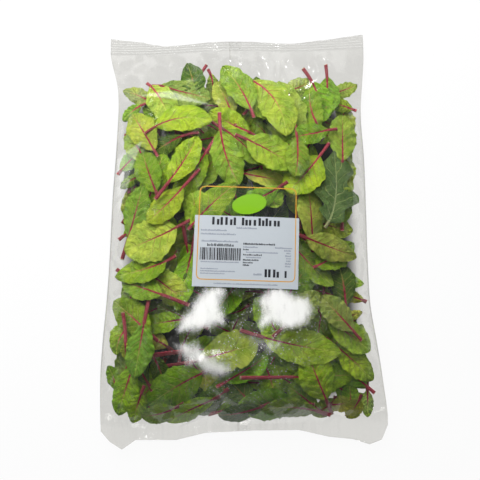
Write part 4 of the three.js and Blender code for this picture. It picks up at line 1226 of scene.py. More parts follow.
def build_label(settings):
    """The clear carrier, its pale panel, a rounded frame line, a plain oval and greeked lines."""
    carrier_grid = unit_grid("label_carrier", 32, 32, closed=True)
    sheet = unit_grid("label_sheet", 24, 12)
    parts = []

    def add(template, name, material, x, y, level):
        piece = copy_of(template, name)
        lay_on_label(piece, x, y, level)
        piece.data.materials.append(material)
        parts.append(piece)

    clear = plain_material("label_clear", settings.paper_color, 0.2, alpha=settings.carrier_veil)
    paper = plain_material("label_paper", settings.paper_color, 0.42)
    frame_ink = plain_material("label_frame_ink", settings.frame_color, 0.4)
    oval_ink = plain_material("label_oval_ink", settings.oval_color, 0.4)
    dark_ink = plain_material("label_dark_ink", settings.ink_color, 0.45)
    soft_ink = plain_material("label_soft_ink", settings.soft_ink_color, 0.45)

    width, length = settings.width / MM, settings.length / MM
    thick = settings.thickness / MM
    place = points_of(carrier_grid.data)
    x, y = (place[:, 0] - 0.5) * width, place[:, 1] * length / 2
    add(carrier_grid, "carrier", clear, x, y, thick * (0.5 + 0.5 * np.sign(place[:, 2])))

    place = points_of(sheet.data)
    u, v = place[:, 0], place[:, 1]
    mark = unit_grid("label_mark", 3, 1)
    small = points_of(mark.data)

    def block(template, name, material, box, level):
        x0, y0, x1, y1 = box
        across, up = (u, v) if template is sheet else (small[:, 0], small[:, 1])
        add(template, name, material, lerp(x0, x1, across), lerp(y0, y1, up / 2 + 0.5), thick + level)

    block(sheet, "panel", paper, (-width / 2, -length / 2, width / 2, PANEL_TOP), PANEL_LEVEL)

    line = unit_grid("label_line", 120, 1)
    place = points_of(line.data)
    left, foot, right, head = FRAME_INSET
    inset = (-width / 2 + left, -length / 2 + foot, width / 2 - right, length / 2 - head)
    px, py, nx, ny = rounded_path(place[:, 0], inset, FRAME_CORNER)
    half_line = settings.frame_line / MM / 2 * place[:, 1]
    add(line, "frame", frame_ink, px + nx * half_line, py + ny * half_line, thick + INK_LEVEL)

    spread = 2 * u - 1
    disc_x = spread * np.sqrt(1 - v * v / 2)
    disc_y = v * np.sqrt(1 - spread * spread / 2)
    oval_x = OVAL_CENTER[0] + OVAL_HALF[0] * disc_x + OVAL_LEAN[0] * disc_y
    oval_y = OVAL_CENTER[1] + OVAL_HALF[1] * disc_y + OVAL_LEAN[1] * disc_x
    add(sheet, "oval", oval_ink, oval_x, oval_y, thick + OVAL_LEVEL)

    rng = np.random.default_rng(LABEL_SEED)
    for x0, x1, middle, height, bold in LABEL_LINES:
        ink = dark_ink if bold else soft_ink
        mark_width = height * (0.3 if bold and height > 2 else 0.5)
        low = middle - height / 2
        at = x0
        while at < x1 - mark_width / 2:
            tall = height * (1 if rng.random() < 0.4 or at == x0 else SMALL_MARK)
            block(mark, "mark", ink, (at, low, min(at + mark_width, x1), low + tall), INK_LEVEL)
            close = rng.random() < (0.6 if bold else 0.85)
            at += mark_width + height * (0.14 if close else 0.3)
    at, bars_foot, bars_end, bars_head = BARS_BOX
    while at < bars_end:
        bar = rng.uniform(*BAR_WIDTHS)
        block(mark, "bar", dark_ink, (at, bars_foot, at + bar, bars_head), INK_LEVEL)
        at += bar + rng.uniform(*BAR_GAPS)
    label = join(parts, "fine_label")
    remove(carrier_grid, sheet, mark, line)
    return label


# ---------------------------------------------------------------- leaves


def shape_leaf(mesh, laid, settings, rng):
    """Shapes a closed unit grid as a fine leaf, in the place of a laid one."""
    leaf = laid["leaf"]
    rib = Midrib(leaf)
    grid = points_of(mesh)
    a, w, face = grid[:, 0], grid[:, 1], np.sign(grid[:, 2])
    stalk_share = STALK_ROWS / LEAF_ROWS
    stalk = np.clip(a / stalk_share, 0, 1)
    blade = np.clip((a - stalk_share) / (1 - stalk_share), 0, 1)
    s = np.where(a < stalk_share, rib.foot * stalk, lerp(rib.foot, 1, blade))
    on_blade = ease(0, 0.07, blade)
    v = lerp(np.sin(np.pi / 2 * w), np.sign(w) * np.power(np.abs(w), 1.2), on_blade)
    side = (v < 0).astype(int)

    # The outline: a round stalk that runs out into the blade's uneven margin.
    lobes = 1 + KINDS[leaf["kind"]].get("lobes", 0) * np.sin(blade * LOBE_TURNS)
    bow = np.clip(np.sin(np.pi * np.power(blade, BLADE_SKEW)), 0, 1)
    oval = leaf["width"] / 2 * np.power(bow, BLADE_ROUND) * lobes
    phase = rng.uniform(0, 50, 2)
    uneven = lattice_noise(blade * 8 + phase[side], 3.0 + side, 5)
    uneven += 0.7 * lattice_noise(blade * 21 + phase[side], 8.0 + side, 6)
    oval = oval * (1 + settings.unevenness * uneven * np.minimum(1, 4 * (1 - blade)))
    stalk_half = STALK_RADIUS * lerp(1, 0.85, stalk) * rng.uniform(0.95, 1.2)
    half = np.sqrt(oval ** 2 + (stalk_half * np.power(1 - blade, 3)) ** 2 + EDGE_HALF ** 2)

    point, normal = rib.at(s)
    place = point + normal * (half * v)[:, None]
    left, right = (edge_relief(leaf, half, blade, edge) for edge in (0, 1))
    relief = np.where(side == 0, left, right)
    out = np.abs(v)
    if "surface" in laid:
        level = surface_level(laid["surface"], place[:, 0], place[:, 1])
        relief = relief * DRAPE_RELIEF
    else:
        ox, oy = laid["origin"]
        level = terms((place[:, 0] - ox) / FIT_SCALE, (place[:, 1] - oy) / FIT_SCALE) @ laid["fit"]
        level += through(list(zip(laid["rows"]["share"], laid["lift"])), s) - laid["sink"]
    level += relief * (0.45 * out + 0.55 * v * v) * on_blade

    # Puckers between the side veins, a ruffled margin and a soft dip along the midrib.
    veins = VEIN_COUNT * (blade - VEIN_SLANT * out) + 0.5 * side
    bulge = np.power(np.abs(np.sin(np.pi * veins)), 0.8) * np.minimum(1, 5 * out) * (1 - v ** 4)
    crinkle = lattice_noise(place[:, 0] / 3.4, place[:, 1] / 3.4, int(rng.integers(999)))
    rough = rng.uniform(*PUCKER_SHARES)
    ruffle = np.sin(2 * np.pi * (rng.uniform(*RUFFLE_TURNS) * blade + rng.uniform(0, 1, 2)[side]))
    level += on_blade * settings.pucker / MM * rough * (bulge - 0.6 + 0.5 * crinkle * (1 - v * v))
    level += on_blade * settings.ruffle / MM * out ** 3 * ruffle * ease(0, 0.25, blade)
    level = laid["side"] * level

    # The midrib stands out on the leaf's underside.
    across = out * half
    raised = (1 - blade) * np.exp(-((across / RIB_WIDTH) ** 2))
    turned = rng.random() < settings.turned
    underside = (face > 0) if turned else (face <= 0)
    rib_here = np.where(underside, RIB_RAISED, RIB_SUNK) * raised
    blade_half_depth = settings.blade_thickness / MM / 2 + rib_here * 0.9
    stalk_half_depth = STALK_DEPTH / 2 * np.sqrt(np.maximum(0.02, 1 - v * v)) * lerp(1, 0.9, stalk)
    depth = lerp(stalk_half_depth, blade_half_depth, ease(0, 0.1, blade))

    # Where the leaf would pass the film, it is pressed flat against it.
    front, back = face_heights(place[:, 0] / half_width(*place.T), place[:, 1], True)
    room = PRESS_CLEAR + depth
    lift = end_lift(*place.T)
    level = np.minimum(level, lerp(front + lift - room, level, PRESS_GIVE))
    level = np.maximum(level, lerp(back + lift + room, level, PRESS_GIVE))
    set_points(mesh, np.column_stack((place, level + face * depth)) * MM)

    along = np.where(a < stalk_share, STALK_UV * stalk, lerp(STALK_UV, 1, blade))
    set_uv(mesh, along, 0.5 + 0.5 * v)
    set_float(mesh, "across", across)
    colors = getattr(settings, leaf["kind"] + "_color")
    shade = rng.uniform(0.84, 1.15)
    tint = np.array(colors[:3]) * shade * rng.uniform((0.88, 0.97, 0.8), (1.14, 1.03, 1.15))
    if turned:
        tint = lerp(tint, tint.mean(), 0.08)
    set_color(mesh, "leaf_color", np.clip(tint, 0, 1))
    pale = leaf["kind"] == LOBED
    vein = np.array(settings.pale_vein_color[:3] if pale else settings.stalk_color[:3])
    set_color(mesh, "vein_color", np.clip(vein * rng.uniform(0.75, 1.3), 0, 1))
    set_float(mesh, "reach", 1.3 if pale else rng.uniform(0.65, 1.2))


def build_leaves(settings):
    """Every leaf as a closed fine mesh, joined as the solids are: (pieces with nodes, loose)."""
    template = unit_grid("leaf_template", LEAF_ROWS, LEAF_COLUMNS, closed=True)
    material = leaf_material(settings)
    nodes, loose = fill_bag()
    rng = np.random.default_rng(SEED)

    def make(laid, name):
        piece = copy_of(template, name)
        shape_leaf(piece.data, laid, settings, rng)
        piece.data.materials.append(material)
        return piece

    stand_ins = []
    for node in nodes:
        parts = [make(laid, node["name"]) for laid in node["leaves"]]
        stand_ins.append((join(parts, "fine_" + node["name"]), node["name"]))
    extra = [make(laid, f"loose_leaf_{n + 1:02d}") for n, laid in enumerate(loose)]
    remove(template)
    return stand_ins, extra


# ---------------------------------------------------------------- materials

# Scales of the patterns, in repeats to the metre.
GRAIN_SCALE = 900.0
VEIN_WOBBLE_SCALE = 140.0
VEIN_NET_SCALE = 340.0
MOTTLE_SCALE = 75.0
QUILT_SCALE = 210.0
PIT_SCALE = 330.0
FINE_CRINKLE_SCALE = 260.0
CRINKLE_SCALE = 60.0
DROP_SCALE = 620.0
MIST_AND_GLARE_GRAIN_SCALE = 2200.0
MIST_AND_GLARE_STREAK_SCALE = 150.0
FLOOR_TOOTH_SCALE = 300.0

# Where drops hang inside the film, and how far from there they thin out, in metres.
WET_PLACE = (0.006, -0.1, 0.04)
WET_REACH = (0.1, 0.03)

# The painted shade under the bag, where the floor's glow is cut down: its half sizes, how far its
# middle lies towards the foot, the reach of its edge, in metres, and the glow left in it.
SHADE_HALF = (0.062, 0.105)
SHADE_SHIFT = 0.01
SHADE_EDGE = (0.034, 0.05)
SHADE_GLOW = 0.004


class Nodes:
    """A short way to write shader nodes."""

    def __init__(self, name):
        self.material = bpy.data.materials.new(name)
        self.material.use_nodes = True
        self.tree = self.material.node_tree
        self.tree.nodes.clear()

    def add(self, kind, inputs=None, **settings):
        node = self.tree.nodes.new("ShaderNode" + kind)
        for name, value in settings.items():
            setattr(node, name, value)
        for name, value in (inputs or {}).items():
            if isinstance(value, bpy.types.NodeSocket):
                self.tree.links.new(value, node.inputs[name])
            else:
                node.inputs[name].default_value = value
        return node

    def math(self, operation, a, b=0.0, clamp=False):
        node = self.add("Math", {0: a, 1: b}, operation=operation, use_clamp=clamp)
        return node.outputs[0]

    def ramp(self, value, start, end, low=0.0, high=1.0):
        """A smooth step from low to high as the value goes from start to end."""
        node = self.add("MapRange", {"Value": value, "From Min": start, "From Max": end,
                                     "To Min": low, "To Max": high},
                        interpolation_type="SMOOTHSTEP")
        return node.outputs["Result"]

    def mix(self, share, a, b, blend="MIX"):
        node = self.add("Mix", {0: share, 6: a, 7: b}, data_type="RGBA", blend_type=blend)
        return node.outputs[2]

    def noise(self, vector, scale, detail=2.0, rough=0.5):
        node = self.add("TexNoise", {"Vector": vector, "Scale": scale, "Detail": detail,
                                     "Roughness": rough})
        return node.outputs["Fac"]

    def cells(self, vector, scale, feature="F1"):
        return self.add("TexVoronoi", {"Vector": vector, "Scale": scale}, feature=feature)

    def value(self, name, output="Fac"):
        return self.add("Attribute", attribute_name=name).outputs[output]

    def surface(self, shader):
        self.tree.links.new(shader, self.add("OutputMaterial").inputs["Surface"])
        return self.material


def rgba(color):
    return (color[0], color[1], color[2], 1)


def plain_material(name, color, roughness, alpha=1.0):
    """A smooth finish with a very fine, even grain."""
    n = Nodes(name)
    place = n.add("TexCoord").outputs["Object"]
    grain = n.noise(place, GRAIN_SCALE, 3.0)
    tint = n.mix(n.ramp(grain, 0.3, 0.7, 0.0, 0.1), rgba(color), rgba([0.8 * part for part in color]))
    bump = n.add("Bump", {"Strength": 0.12, "Distance": 0.0002, "Height": grain}).outputs[0]
    inputs = {"Base Color": tint, "Roughness": roughness, "Normal": bump}
    if alpha < 1:
        inputs["Alpha"] = n.ramp(grain, 0.0, 1.0, alpha * 0.8, alpha * 1.2)
    return n.surface(n.add("BsdfPrincipled", inputs).outputs[0])


def leaf_material(settings):
    """A fresh leaf: mottled blade, curved side veins, and a red midrib fading to the tip."""
    n = Nodes("chard_leaf")
    place = n.add("TexCoord").outputs["Object"]
    uv = n.add("SeparateXYZ", {0: n.add("UVMap", uv_map="UVMap").outputs[0]})
    u, v = uv.outputs[0], uv.outputs[1]
    blade = n.math("DIVIDE", n.math("SUBTRACT", u, STALK_UV), 1 - STALK_UV, clamp=True)
    offset = n.math("SUBTRACT", v, 0.5)
    out = n.math("MULTIPLY", n.math("ABSOLUTE", offset), 2.0)
    side = n.math("MULTIPLY", n.math("LESS_THAN", v, 0.5), 0.5)
    wobble = n.math("MULTIPLY", n.noise(place, VEIN_WOBBLE_SCALE, 2.0), 0.55)
    slant = n.math("MULTIPLY", out, VEIN_SLANT)
    course = n.math("MULTIPLY", n.math("SUBTRACT", blade, slant), float(VEIN_COUNT))
    course = n.math("ADD", n.math("ADD", course, side), wobble)
    from_vein = n.math("ABSOLUTE", n.math("SUBTRACT", n.math("FRACT", course), 0.5))
    thin = n.math("MULTIPLY", n.ramp(from_vein, 0.42, 0.495), n.ramp(out, 1.0, 0.55))
    cells = n.cells(place, VEIN_NET_SCALE, "DISTANCE_TO_EDGE").outputs["Distance"]
    net = n.ramp(cells, 0.09, 0.0)
    mottle = n.noise(place, MOTTLE_SCALE, 4.0, 0.6)
    grain = n.noise(place, GRAIN_SCALE, 2.0)

    own = n.value("leaf_color", "Color")
    vein = n.value("vein_color", "Color")
    across = n.value("across")
    reach = n.value("reach")
    deep = n.mix(1.0, own, (0.68, 0.78, 0.6, 1), "MULTIPLY")
    fresh = n.mix(1.0, own, (1.24, 1.14, 1.1, 1), "MULTIPLY")
    body = n.mix(n.ramp(mottle, 0.36, 0.66), deep, fresh)
    body = n.mix(n.math("MULTIPLY", grain, 0.22), body, deep)
    pale = n.mix(0.55, fresh, (0.62, 0.72, 0.16, 1))
    body = n.mix(n.math("MULTIPLY", net, 0.22), body, pale)
    body = n.mix(n.math("MULTIPLY", thin, 0.75), body, pale)
    redness = n.ramp(n.math("DIVIDE", blade, reach), 1.0, 0.35)
    red_vein = n.math("MULTIPLY", n.math("MULTIPLY", thin, redness), n.ramp(out, 0.75, 0.1))
    body = n.mix(n.math("MULTIPLY", red_vein, 0.6), body, vein)
    width = n.math("ADD", n.math("MULTIPLY", n.math("SUBTRACT", 1.0, blade), 0.75), 0.28)
    near = n.ramp(n.math("DIVIDE", across, width), 1.15, 0.6)
    rib = n.mix(redness, pale, vein)
    body = n.mix(near, body, rib)

    lengthwise = n.add("UVMap", uv_map="UVMap").outputs[0]
    streaks = n.add("Mapping", {"Vector": lengthwise, "Scale": (14.0, 9.0, 1.0)})
    streak = n.noise(streaks.outputs[0], 3.0, 3.0)
    dark_stalk = n.mix(1.0, vein, (0.45, 0.4, 0.45, 1), "MULTIPLY")
    light_stalk = n.mix(0.22, vein, (0.75, 0.42, 0.3, 1))
    stalk = n.mix(n.ramp(streak, 0.35, 0.68), dark_stalk, light_stalk)
    stalk = n.mix(n.ramp(u, 0.012, 0.004), stalk, (0.6, 0.4, 0.26, 1))
    color = n.mix(n.ramp(u, 0.275, 0.235), body, stalk)

    quilt = n.cells(place, QUILT_SCALE, "SMOOTH_F1").outputs["Distance"]
    height = n.math("ADD", n.math("MULTIPLY", thin, -0.45), n.math("MULTIPLY", net, -0.3))
    height = n.math("ADD", height, n.math("MULTIPLY", quilt, -0.9))
    height = n.math("ADD", height, n.math("MULTIPLY", n.noise(place, PIT_SCALE, 3.0), 0.6))
    height = n.math("MULTIPLY", height, n.ramp(u, 0.24, 0.28, 0.25, 1.0))
    bump = n.add("Bump", {"Strength": 1.0, "Distance": 0.0013, "Height": height}).outputs[0]
    gloss = n.ramp(mottle, 0.3, 0.7, settings.gloss + 0.1, settings.gloss - 0.05)
    skin = n.add("BsdfPrincipled", {
        "Base Color": color, "Roughness": gloss, "Specular IOR Level": 0.32, "Normal": bump})
    glow = n.mix(1.0, color, (1.5, 1.6, 0.7, 1), "MULTIPLY")
    through_light = n.add("BsdfTranslucent", {"Color": glow, "Normal": bump})
    mixed = n.add("MixShader", {0: 0.16, 1: skin.outputs[0], 2: through_light.outputs[0]})
    return n.surface(mixed.outputs[0])


def film_material(settings):
    """Clear film: it lets most light through, mirrors a little, and is misted where it is wet, with
    painted glare in the misted patches and painted sheen on its seal ridges, creases and slack folds.
    """
    n = Nodes("bag_film")
    place = n.add("TexCoord").outputs["Object"]
    sealed = n.value("sealed")
    fine = n.noise(place, FINE_CRINKLE_SCALE, 3.0, 0.6)
    coarse = n.noise(place, CRINKLE_SCALE, 3.0, 0.55)
    height = n.math("ADD", n.math("MULTIPLY", fine, 0.25), coarse)
    crinkle = {"Strength": settings.crinkle, "Distance": 0.0012, "Height": height}
    bump = n.add("Bump", crinkle).outputs[0]
    mirror = n.add("LayerWeight", {"Blend": 0.35, "Normal": bump}).outputs["Fresnel"]
    high = n.ramp(n.add("SeparateXYZ", {0: place}).outputs[2], 0.004, 0.012, 0.15, 1.0)
    shine = n.ramp(mirror, 0.0, 1.0, settings.shine, 0.28)
    shine = n.math("MULTIPLY", shine, n.math("MAXIMUM", high, sealed))

    # Fine drops where the film is wet.
    away = n.add("VectorMath", {0: place, 1: WET_PLACE}, operation="DISTANCE").outputs["Value"]
    wet = n.math("MULTIPLY", n.ramp(away, *WET_REACH), n.ramp(coarse, 0.36, 0.58))
    drops = n.cells(place, DROP_SCALE).outputs
    bead = n.math("MULTIPLY", n.ramp(drops["Distance"], 0.34, 0.12), n.ramp(drops["Color"], 0.5, 0.6))
    drop = n.math("MULTIPLY", n.math("MULTIPLY", bead, wet), 0.75)
    haze = n.math("ADD", n.math("MULTIPLY", wet, 0.03), drop)
    haze = n.math("ADD", haze, n.ramp(coarse, 0.3, 0.8, settings.haze * 0.3, settings.haze * 2))

    # Painted sheen: pale ridges in the seals, partly the seals' own whitening, and pale creases and
    # slack folds.
    ridge = n.ramp(n.value("ridge"), -0.2, 0.9, 0.0, 0.1)
    haze = n.math("ADD", haze, n.math("MULTIPLY", sealed, n.math("ADD", ridge, 0.02)))
    crease = n.value("crease")
    haze = n.math("ADD", haze, n.ramp(crease, 0.5, 1.0, 0.0, settings.crease_painted_sheen))
    haze = n.math("ADD", haze, n.ramp(crease, 1.0, 2.0, 0.0, settings.fold_painted_sheen), True)

    # Patches of mist with a painted glare, broken up by a fine grain and by streaks along the bag.
    grain = n.noise(place, MIST_AND_GLARE_GRAIN_SCALE, 3.0, 0.75)
    drawn_out = n.add("VectorMath", {0: place, 1: (1.0, 0.35, 1.0)}, operation="MULTIPLY")
    streak = n.noise(drawn_out.outputs[0], MIST_AND_GLARE_STREAK_SCALE, 3.0, 0.6)
    break_up = n.math("ADD", n.math("MULTIPLY", grain, 0.8), n.math("MULTIPLY", streak, 0.5))
    mist_and_glare = n.math("ADD", n.value("mist_and_glare"), n.math("MULTIPLY", n.math("SUBTRACT", break_up, 0.65), 1.8))
    haze = n.math("MAXIMUM", haze, n.ramp(mist_and_glare, 0.1, 1.0, 0.0, settings.mist_and_glare))

    tint = n.mix(n.value("lapped"), rgba(settings.tint), (1, 1, 1, 1))
    clear = n.add("BsdfTransparent", {"Color": tint})
    # The milk carries the film's real haze and drops, and also the painted glare and painted sheen.
    milk_and_painted_glare = n.add("BsdfDiffuse", {"Color": (0.88, 0.88, 0.86, 1), "Normal": bump})
    dull = n.ramp(wet, 0.0, 1.0, 0.08, 0.14)
    gloss = n.add("BsdfGlossy", {"Color": (1, 1, 1, 1), "Roughness": dull, "Normal": bump})
    body = n.add("MixShader", {0: haze, 1: clear.outputs[0], 2: milk_and_painted_glare.outputs[0]})
    mixed = n.add("MixShader", {0: shine, 1: body.outputs[0], 2: gloss.outputs[0]})
    return n.surface(mixed.outputs[0])


def floor_material(settings):
    """A bright white glowing sweep with a faint even tooth, and a painted shade where the bag lies on
    it: its glow is cut down there.
    """
    n = Nodes("floor")
    place = n.add("TexCoord").outputs["Object"]
    tooth = n.noise(place, FLOOR_TOOTH_SCALE, 2.0)
    tint = n.mix(n.math("MULTIPLY", tooth, 0.02), rgba(settings.floor_color), (0.06, 0.06, 0.06, 1))
    # Painted shade: the glow falls to SHADE_GLOW over a rounded box under the bag.
    axes = n.add("SeparateXYZ", {0: place}).outputs
    squares = []
    for offset, half in zip((axes[0], n.math("ADD", axes[1], SHADE_SHIFT)), SHADE_HALF):
        past = n.math("MAXIMUM", n.math("SUBTRACT", n.math("ABSOLUTE", offset), half), 0.0)
        squares.append(n.math("MULTIPLY", past, past))
    away = n.math("SQRT", n.math("ADD", *squares))
    glow = n.ramp(away, *SHADE_EDGE, SHADE_GLOW, settings.floor_glow)
    skin = n.add("BsdfPrincipled", {
        "Base Color": tint, "Roughness": 0.8, "Specular IOR Level": 0.1,
        "Emission Color": (1, 1, 1, 1), "Emission Strength": glow})
    return n.surface(skin.outputs[0])


# ---------------------------------------------------------------- settings


def length_property(name, description, default):
    return FloatProperty(name=name, description=description, default=default, min=0,
                         unit="LENGTH", subtype="DISTANCE", precision=5)


def color_property(name, description, default):
    return FloatVectorProperty(name=name, description=description, default=default, size=3,
                               min=0, max=1, subtype="COLOR")


def share_property(name, description, default):
    return FloatProperty(name=name, description=description, default=default, min=0, max=1,
                         subtype="FACTOR")


def strength_property(name, description, default):
    return FloatProperty(name=name, description=description, default=default, min=0)


class ChardFilmSettings(bpy.types.PropertyGroup):
    """Sizes and finish of the film bag."""

    columns: IntProperty(name="Columns", description="Faces round the tube", default=280, min=24)
    rows: IntProperty(name="Rows", description="Faces along the tube", default=250, min=24)
    dent: length_property("Dents", "Depth of the film's dents and pleats", 0.0019)
    crimp: length_property("Crimp ridge", "Height of the ridges in the seals", 0.00032)
    crimp_pitch: length_property("Crimp pitch", "Distance between the ridges in the seals", 0.0026)
    film_gap: length_property("Lap step", "How far the inner edge of the lap lies inside", 0.0009)
    tint: color_property("Tint", "Light that one layer lets through", (0.849, 0.845, 0.828))
    haze: share_property("Haze", "Share of light that one layer scatters", 0.004)
    # Painted sheen on creases and on slack folds.
    crease_painted_sheen: share_property("Crease haze", "Share of light that a sharp crease scatters", 0.05)
    fold_painted_sheen: share_property("Fold haze", "Share of light that a slack fold scatters", 0.16)
    # Painted glare: how white the misted patches are.
    mist_and_glare: share_property("Mist", "Share of light that the misted patches scatter", 0.85)
    shine: share_property("Shine", "Share of light mirrored straight back", 0.065)
    crinkle: share_property("Crinkle", "Strength of the finest crinkles", 0.24)


class ChardLabelSettings(bpy.types.PropertyGroup):
    """Sizes and colours of the label."""

    width: length_property("Width", "Size across the bag", LABEL_WIDTH * MM)
    length: length_property("Length", "Size along the bag", LABEL_LENGTH * MM)
    thickness: length_property("Thickness", "Thickness of the clear carrier", 0.00015)
    frame_line: length_property("Frame line", "Width of the printed frame", 0.00085)
    carrier_veil: share_property("Carrier veil", "How far the clear carrier hides the leaves", 0.012)
    paper_color: color_property("Panel", "Colour of the printed panel", (0.372, 0.404, 0.432))
    frame_color: color_property("Frame", "Colour of the frame line", (0.5, 0.255, 0.018))
    oval_color: color_property("Oval", "Colour of the plain oval", (0.155, 0.35, 0.004))
    ink_color: color_property("Dark marks", "Colour of the bold marks", (0.015, 0.016, 0.02))
    soft_ink_color: color_property("Soft marks", "Colour of the small marks", (0.2, 0.22, 0.26))


class ChardLeafSettings(bpy.types.PropertyGroup):
    """Sizes and colours of the leaves."""

    blade_thickness: length_property("Blade", "Thickness of a blade", 0.00045)
    pucker: length_property("Pucker", "Swell of the blade between its side veins", 0.0011)
    ruffle: length_property("Ruffle", "Waves of a blade's margin", 0.0009)
    unevenness: share_property("Unevenness", "Unevenness of a blade's outline", 0.09)
    turned: share_property("Turned", "Share of the leaves with their underside up", 0.35)
    gloss: share_property("Roughness", "Roughness of a blade", 0.42)
    bright_color: color_property("Bright", "Young bright blades", (0.41, 0.62, 0.03))
    light_color: color_property("Light", "Light blades", (0.5, 0.63, 0.07))
    mid_color: color_property("Mid", "Mid-green blades", (0.28, 0.5, 0.02))
    dark_color: color_property("Dark", "Dark blades", (0.085, 0.185, 0.012))
    grey_color: color_property("Grey", "Greyish blades", (0.36, 0.5, 0.08))
    yellow_color: color_property("Yellow", "Yellowish blades", (0.6, 0.63, 0.06))
    lobed_color: color_property("Lobed", "The lobed leaf", (0.15, 0.245, 0.075))
    stalk_color: color_property("Stalk", "Stalks and midribs", (0.45, 0.025, 0.075))
    pale_vein_color: color_property("Pale vein", "Veins of the lobed leaf", (0.62, 0.74, 0.33))


class ChardStageSettings(bpy.types.PropertyGroup):
    """The floor, the lights and the camera."""

    floor_size: length_property("Floor", "Side of the floor", 6.0)
    floor_color: color_property("Floor colour", "Colour of the floor", (0.04, 0.04, 0.04))
    floor_glow: strength_property("Floor glow", "Light that the floor gives", 0.93)
    sky: strength_property("Sky", "Strength of the light from all round", 0.16)
    zenith: strength_property("Zenith", "Strength of the light from above", 0.03)
    key: strength_property("Key", "Power of the light past the head in watts", 12.7)
    sun: strength_property("Sun", "Strength of the hard light", 0.06)
    fill: strength_property("Fill", "Power of the soft light overhead in watts", 2.3)
    lamp: strength_property("Lamps", "Share of each small lamp's power", 1.0)


# ---------------------------------------------------------------- operators


def dress(piece, material, slot, *nodes):
    if material:
        piece.data.materials.append(material)
    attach(piece, "root")
    if nodes:
        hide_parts(*nodes)


class CHARD_OT_film(bpy.types.Operator):
    """Add the bag of film"""

    bl_idname = "chard.film"
    bl_label = "Film bag"
    bl_options = {"REGISTER", "UNDO"}

    def execute(self, context):
        settings = context.scene.chard_film
        dress(build_film(settings), film_material(settings), "film", "bag_film")
        return {"FINISHED"}


class CHARD_OT_label(bpy.types.Operator):
    """Add the label on the front of the bag"""

    bl_idname = "chard.label"
    bl_label = "Label"
    bl_options = {"REGISTER", "UNDO"}

    def execute(self, context):
        dress(build_label(context.scene.chard_label), None, "label", "label")
        return {"FINISHED"}


class CHARD_OT_leaves(bpy.types.Operator):
    """Add every leaf in the bag"""

    bl_idname = "chard.leaves"
    bl_label = "Leaves"
    bl_options = {"REGISTER", "UNDO"}

    def execute(self, context):
        stand_ins, extra = build_leaves(context.scene.chard_leaves)
        for piece, node in stand_ins:
            dress(piece, None, "leaf", node)
        for piece in extra:
            dress(piece, None, "leaf")
        return {"FINISHED"}


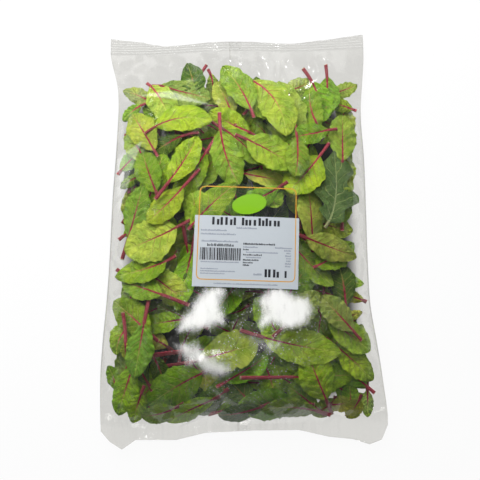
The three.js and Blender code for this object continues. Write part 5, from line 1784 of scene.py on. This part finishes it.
class CHARD_OT_stage(bpy.types.Operator):
    """Add the floor, the lights and the camera"""

    bl_idname = "chard.stage"
    bl_label = "Stage"
    bl_options = {"REGISTER", "UNDO"}

    def execute(self, context):
        settings = context.scene.chard_stage
        scene = context.scene
        bpy.ops.object.select_all(action="DESELECT")
        bpy.ops.mesh.primitive_plane_add(size=settings.floor_size, location=(0, 0, -FLOOR_DROP))
        floor = context.object
        floor.name = "floor"
        floor.data.materials.append(floor_material(settings))

        world = scene.world or bpy.data.worlds.new("World")
        scene.world = world
        world.use_nodes = True
        sky_nodes = world.node_tree.nodes
        sky = next(node for node in sky_nodes if node.type == "BACKGROUND")
        sky.inputs["Color"].default_value = SKY_COLOR
        height = sky_nodes.new("ShaderNodeSeparateXYZ")
        fade = sky_nodes.new("ShaderNodeMapRange")
        fade.interpolation_type = "SMOOTHSTEP"
        fade_values = (*SKY_FADE, settings.sky, settings.zenith)
        for name, value in zip(("From Min", "From Max", "To Min", "To Max"), fade_values):
            fade.inputs[name].default_value = value
        look = sky_nodes.new("ShaderNodeTexCoord").outputs["Generated"]
        world.node_tree.links.new(look, height.inputs[0])
        world.node_tree.links.new(height.outputs[2], fade.inputs["Value"])
        world.node_tree.links.new(fade.outputs[0], sky.inputs["Strength"])

        def light(name, place, aim, width, length, power):
            bpy.ops.object.light_add(type="AREA", location=place)
            lamp = context.object
            lamp.name = name
            lamp.data.shape = "RECTANGLE"
            lamp.data.size = width
            lamp.data.size_y = length
            lamp.data.energy = power
            away = Vector(place) - Vector(aim)
            lamp.rotation_euler = away.to_track_quat("Z", "Y").to_euler()
            return lamp

        light("key", *KEY_LIGHT, settings.key).visible_glossy = False
        light("fill", *FILL_LIGHT, settings.fill).visible_glossy = False
        bpy.ops.object.light_add(type="SUN")
        sun = context.object
        sun.name = "sun"
        sun.data.energy = settings.sun
        sun.data.angle = SUN_ANGLE
        sun.rotation_euler = Vector(SUN_AWAY).to_track_quat("Z", "Y").to_euler()
        for *form, power, lights_leaves in LAMPS:
            lamp = light(*form, power * settings.lamp)
            lamp.visible_diffuse = lights_leaves
            lamp.visible_glossy = not lights_leaves

        bpy.ops.object.camera_add(location=CAMERA_PLACE, rotation=CAMERA_TURN)
        camera = context.object
        camera.data.lens = LENS
        camera.data.shift_x, camera.data.shift_y = LENS_SHIFT
        scene.camera = camera
        scene.view_settings.view_transform = "Standard"
        return {"FINISHED"}


PANEL_PARTS = (("film", "Film bag"), ("label", "Label"), ("leaves", "Leaves"), ("stage", "Stage"))


class CHARD_PT_panel(bpy.types.Panel):
    """Sizes, colours and buttons of the chard bag"""

    bl_idname = "CHARD_PT_panel"
    bl_label = "Chard Bag"
    bl_space_type = "VIEW_3D"
    bl_region_type = "UI"
    bl_category = "Chard Bag"

    def draw(self, context):
        for name, title in PANEL_PARTS:
            box = self.layout.box()
            box.label(text=title)
            settings = getattr(context.scene, "chard_" + name)
            for key in settings.bl_rna.properties.keys():
                if key not in ("rna_type", "name"):
                    box.prop(settings, key)
            box.operator("chard." + name)


CLASSES = (
    ChardFilmSettings, ChardLabelSettings, ChardLeafSettings, ChardStageSettings,
    CHARD_OT_film, CHARD_OT_label, CHARD_OT_leaves, CHARD_OT_stage, CHARD_PT_panel,
)


def register():
    for cls in CLASSES:
        bpy.utils.register_class(cls)
    bpy.types.Scene.chard_film = PointerProperty(type=ChardFilmSettings)
    bpy.types.Scene.chard_label = PointerProperty(type=ChardLabelSettings)
    bpy.types.Scene.chard_leaves = PointerProperty(type=ChardLeafSettings)
    bpy.types.Scene.chard_stage = PointerProperty(type=ChardStageSettings)


def unregister():
    for name in ("chard_stage", "chard_leaves", "chard_label", "chard_film"):
        delattr(bpy.types.Scene, name)
    for cls in reversed(CLASSES):
        bpy.utils.unregister_class(cls)


def main():
    register()
    bpy.ops.chard.film()
    bpy.ops.chard.label()
    bpy.ops.chard.leaves()
    bpy.ops.chard.stage()


if __name__ == "__main__":
    main()
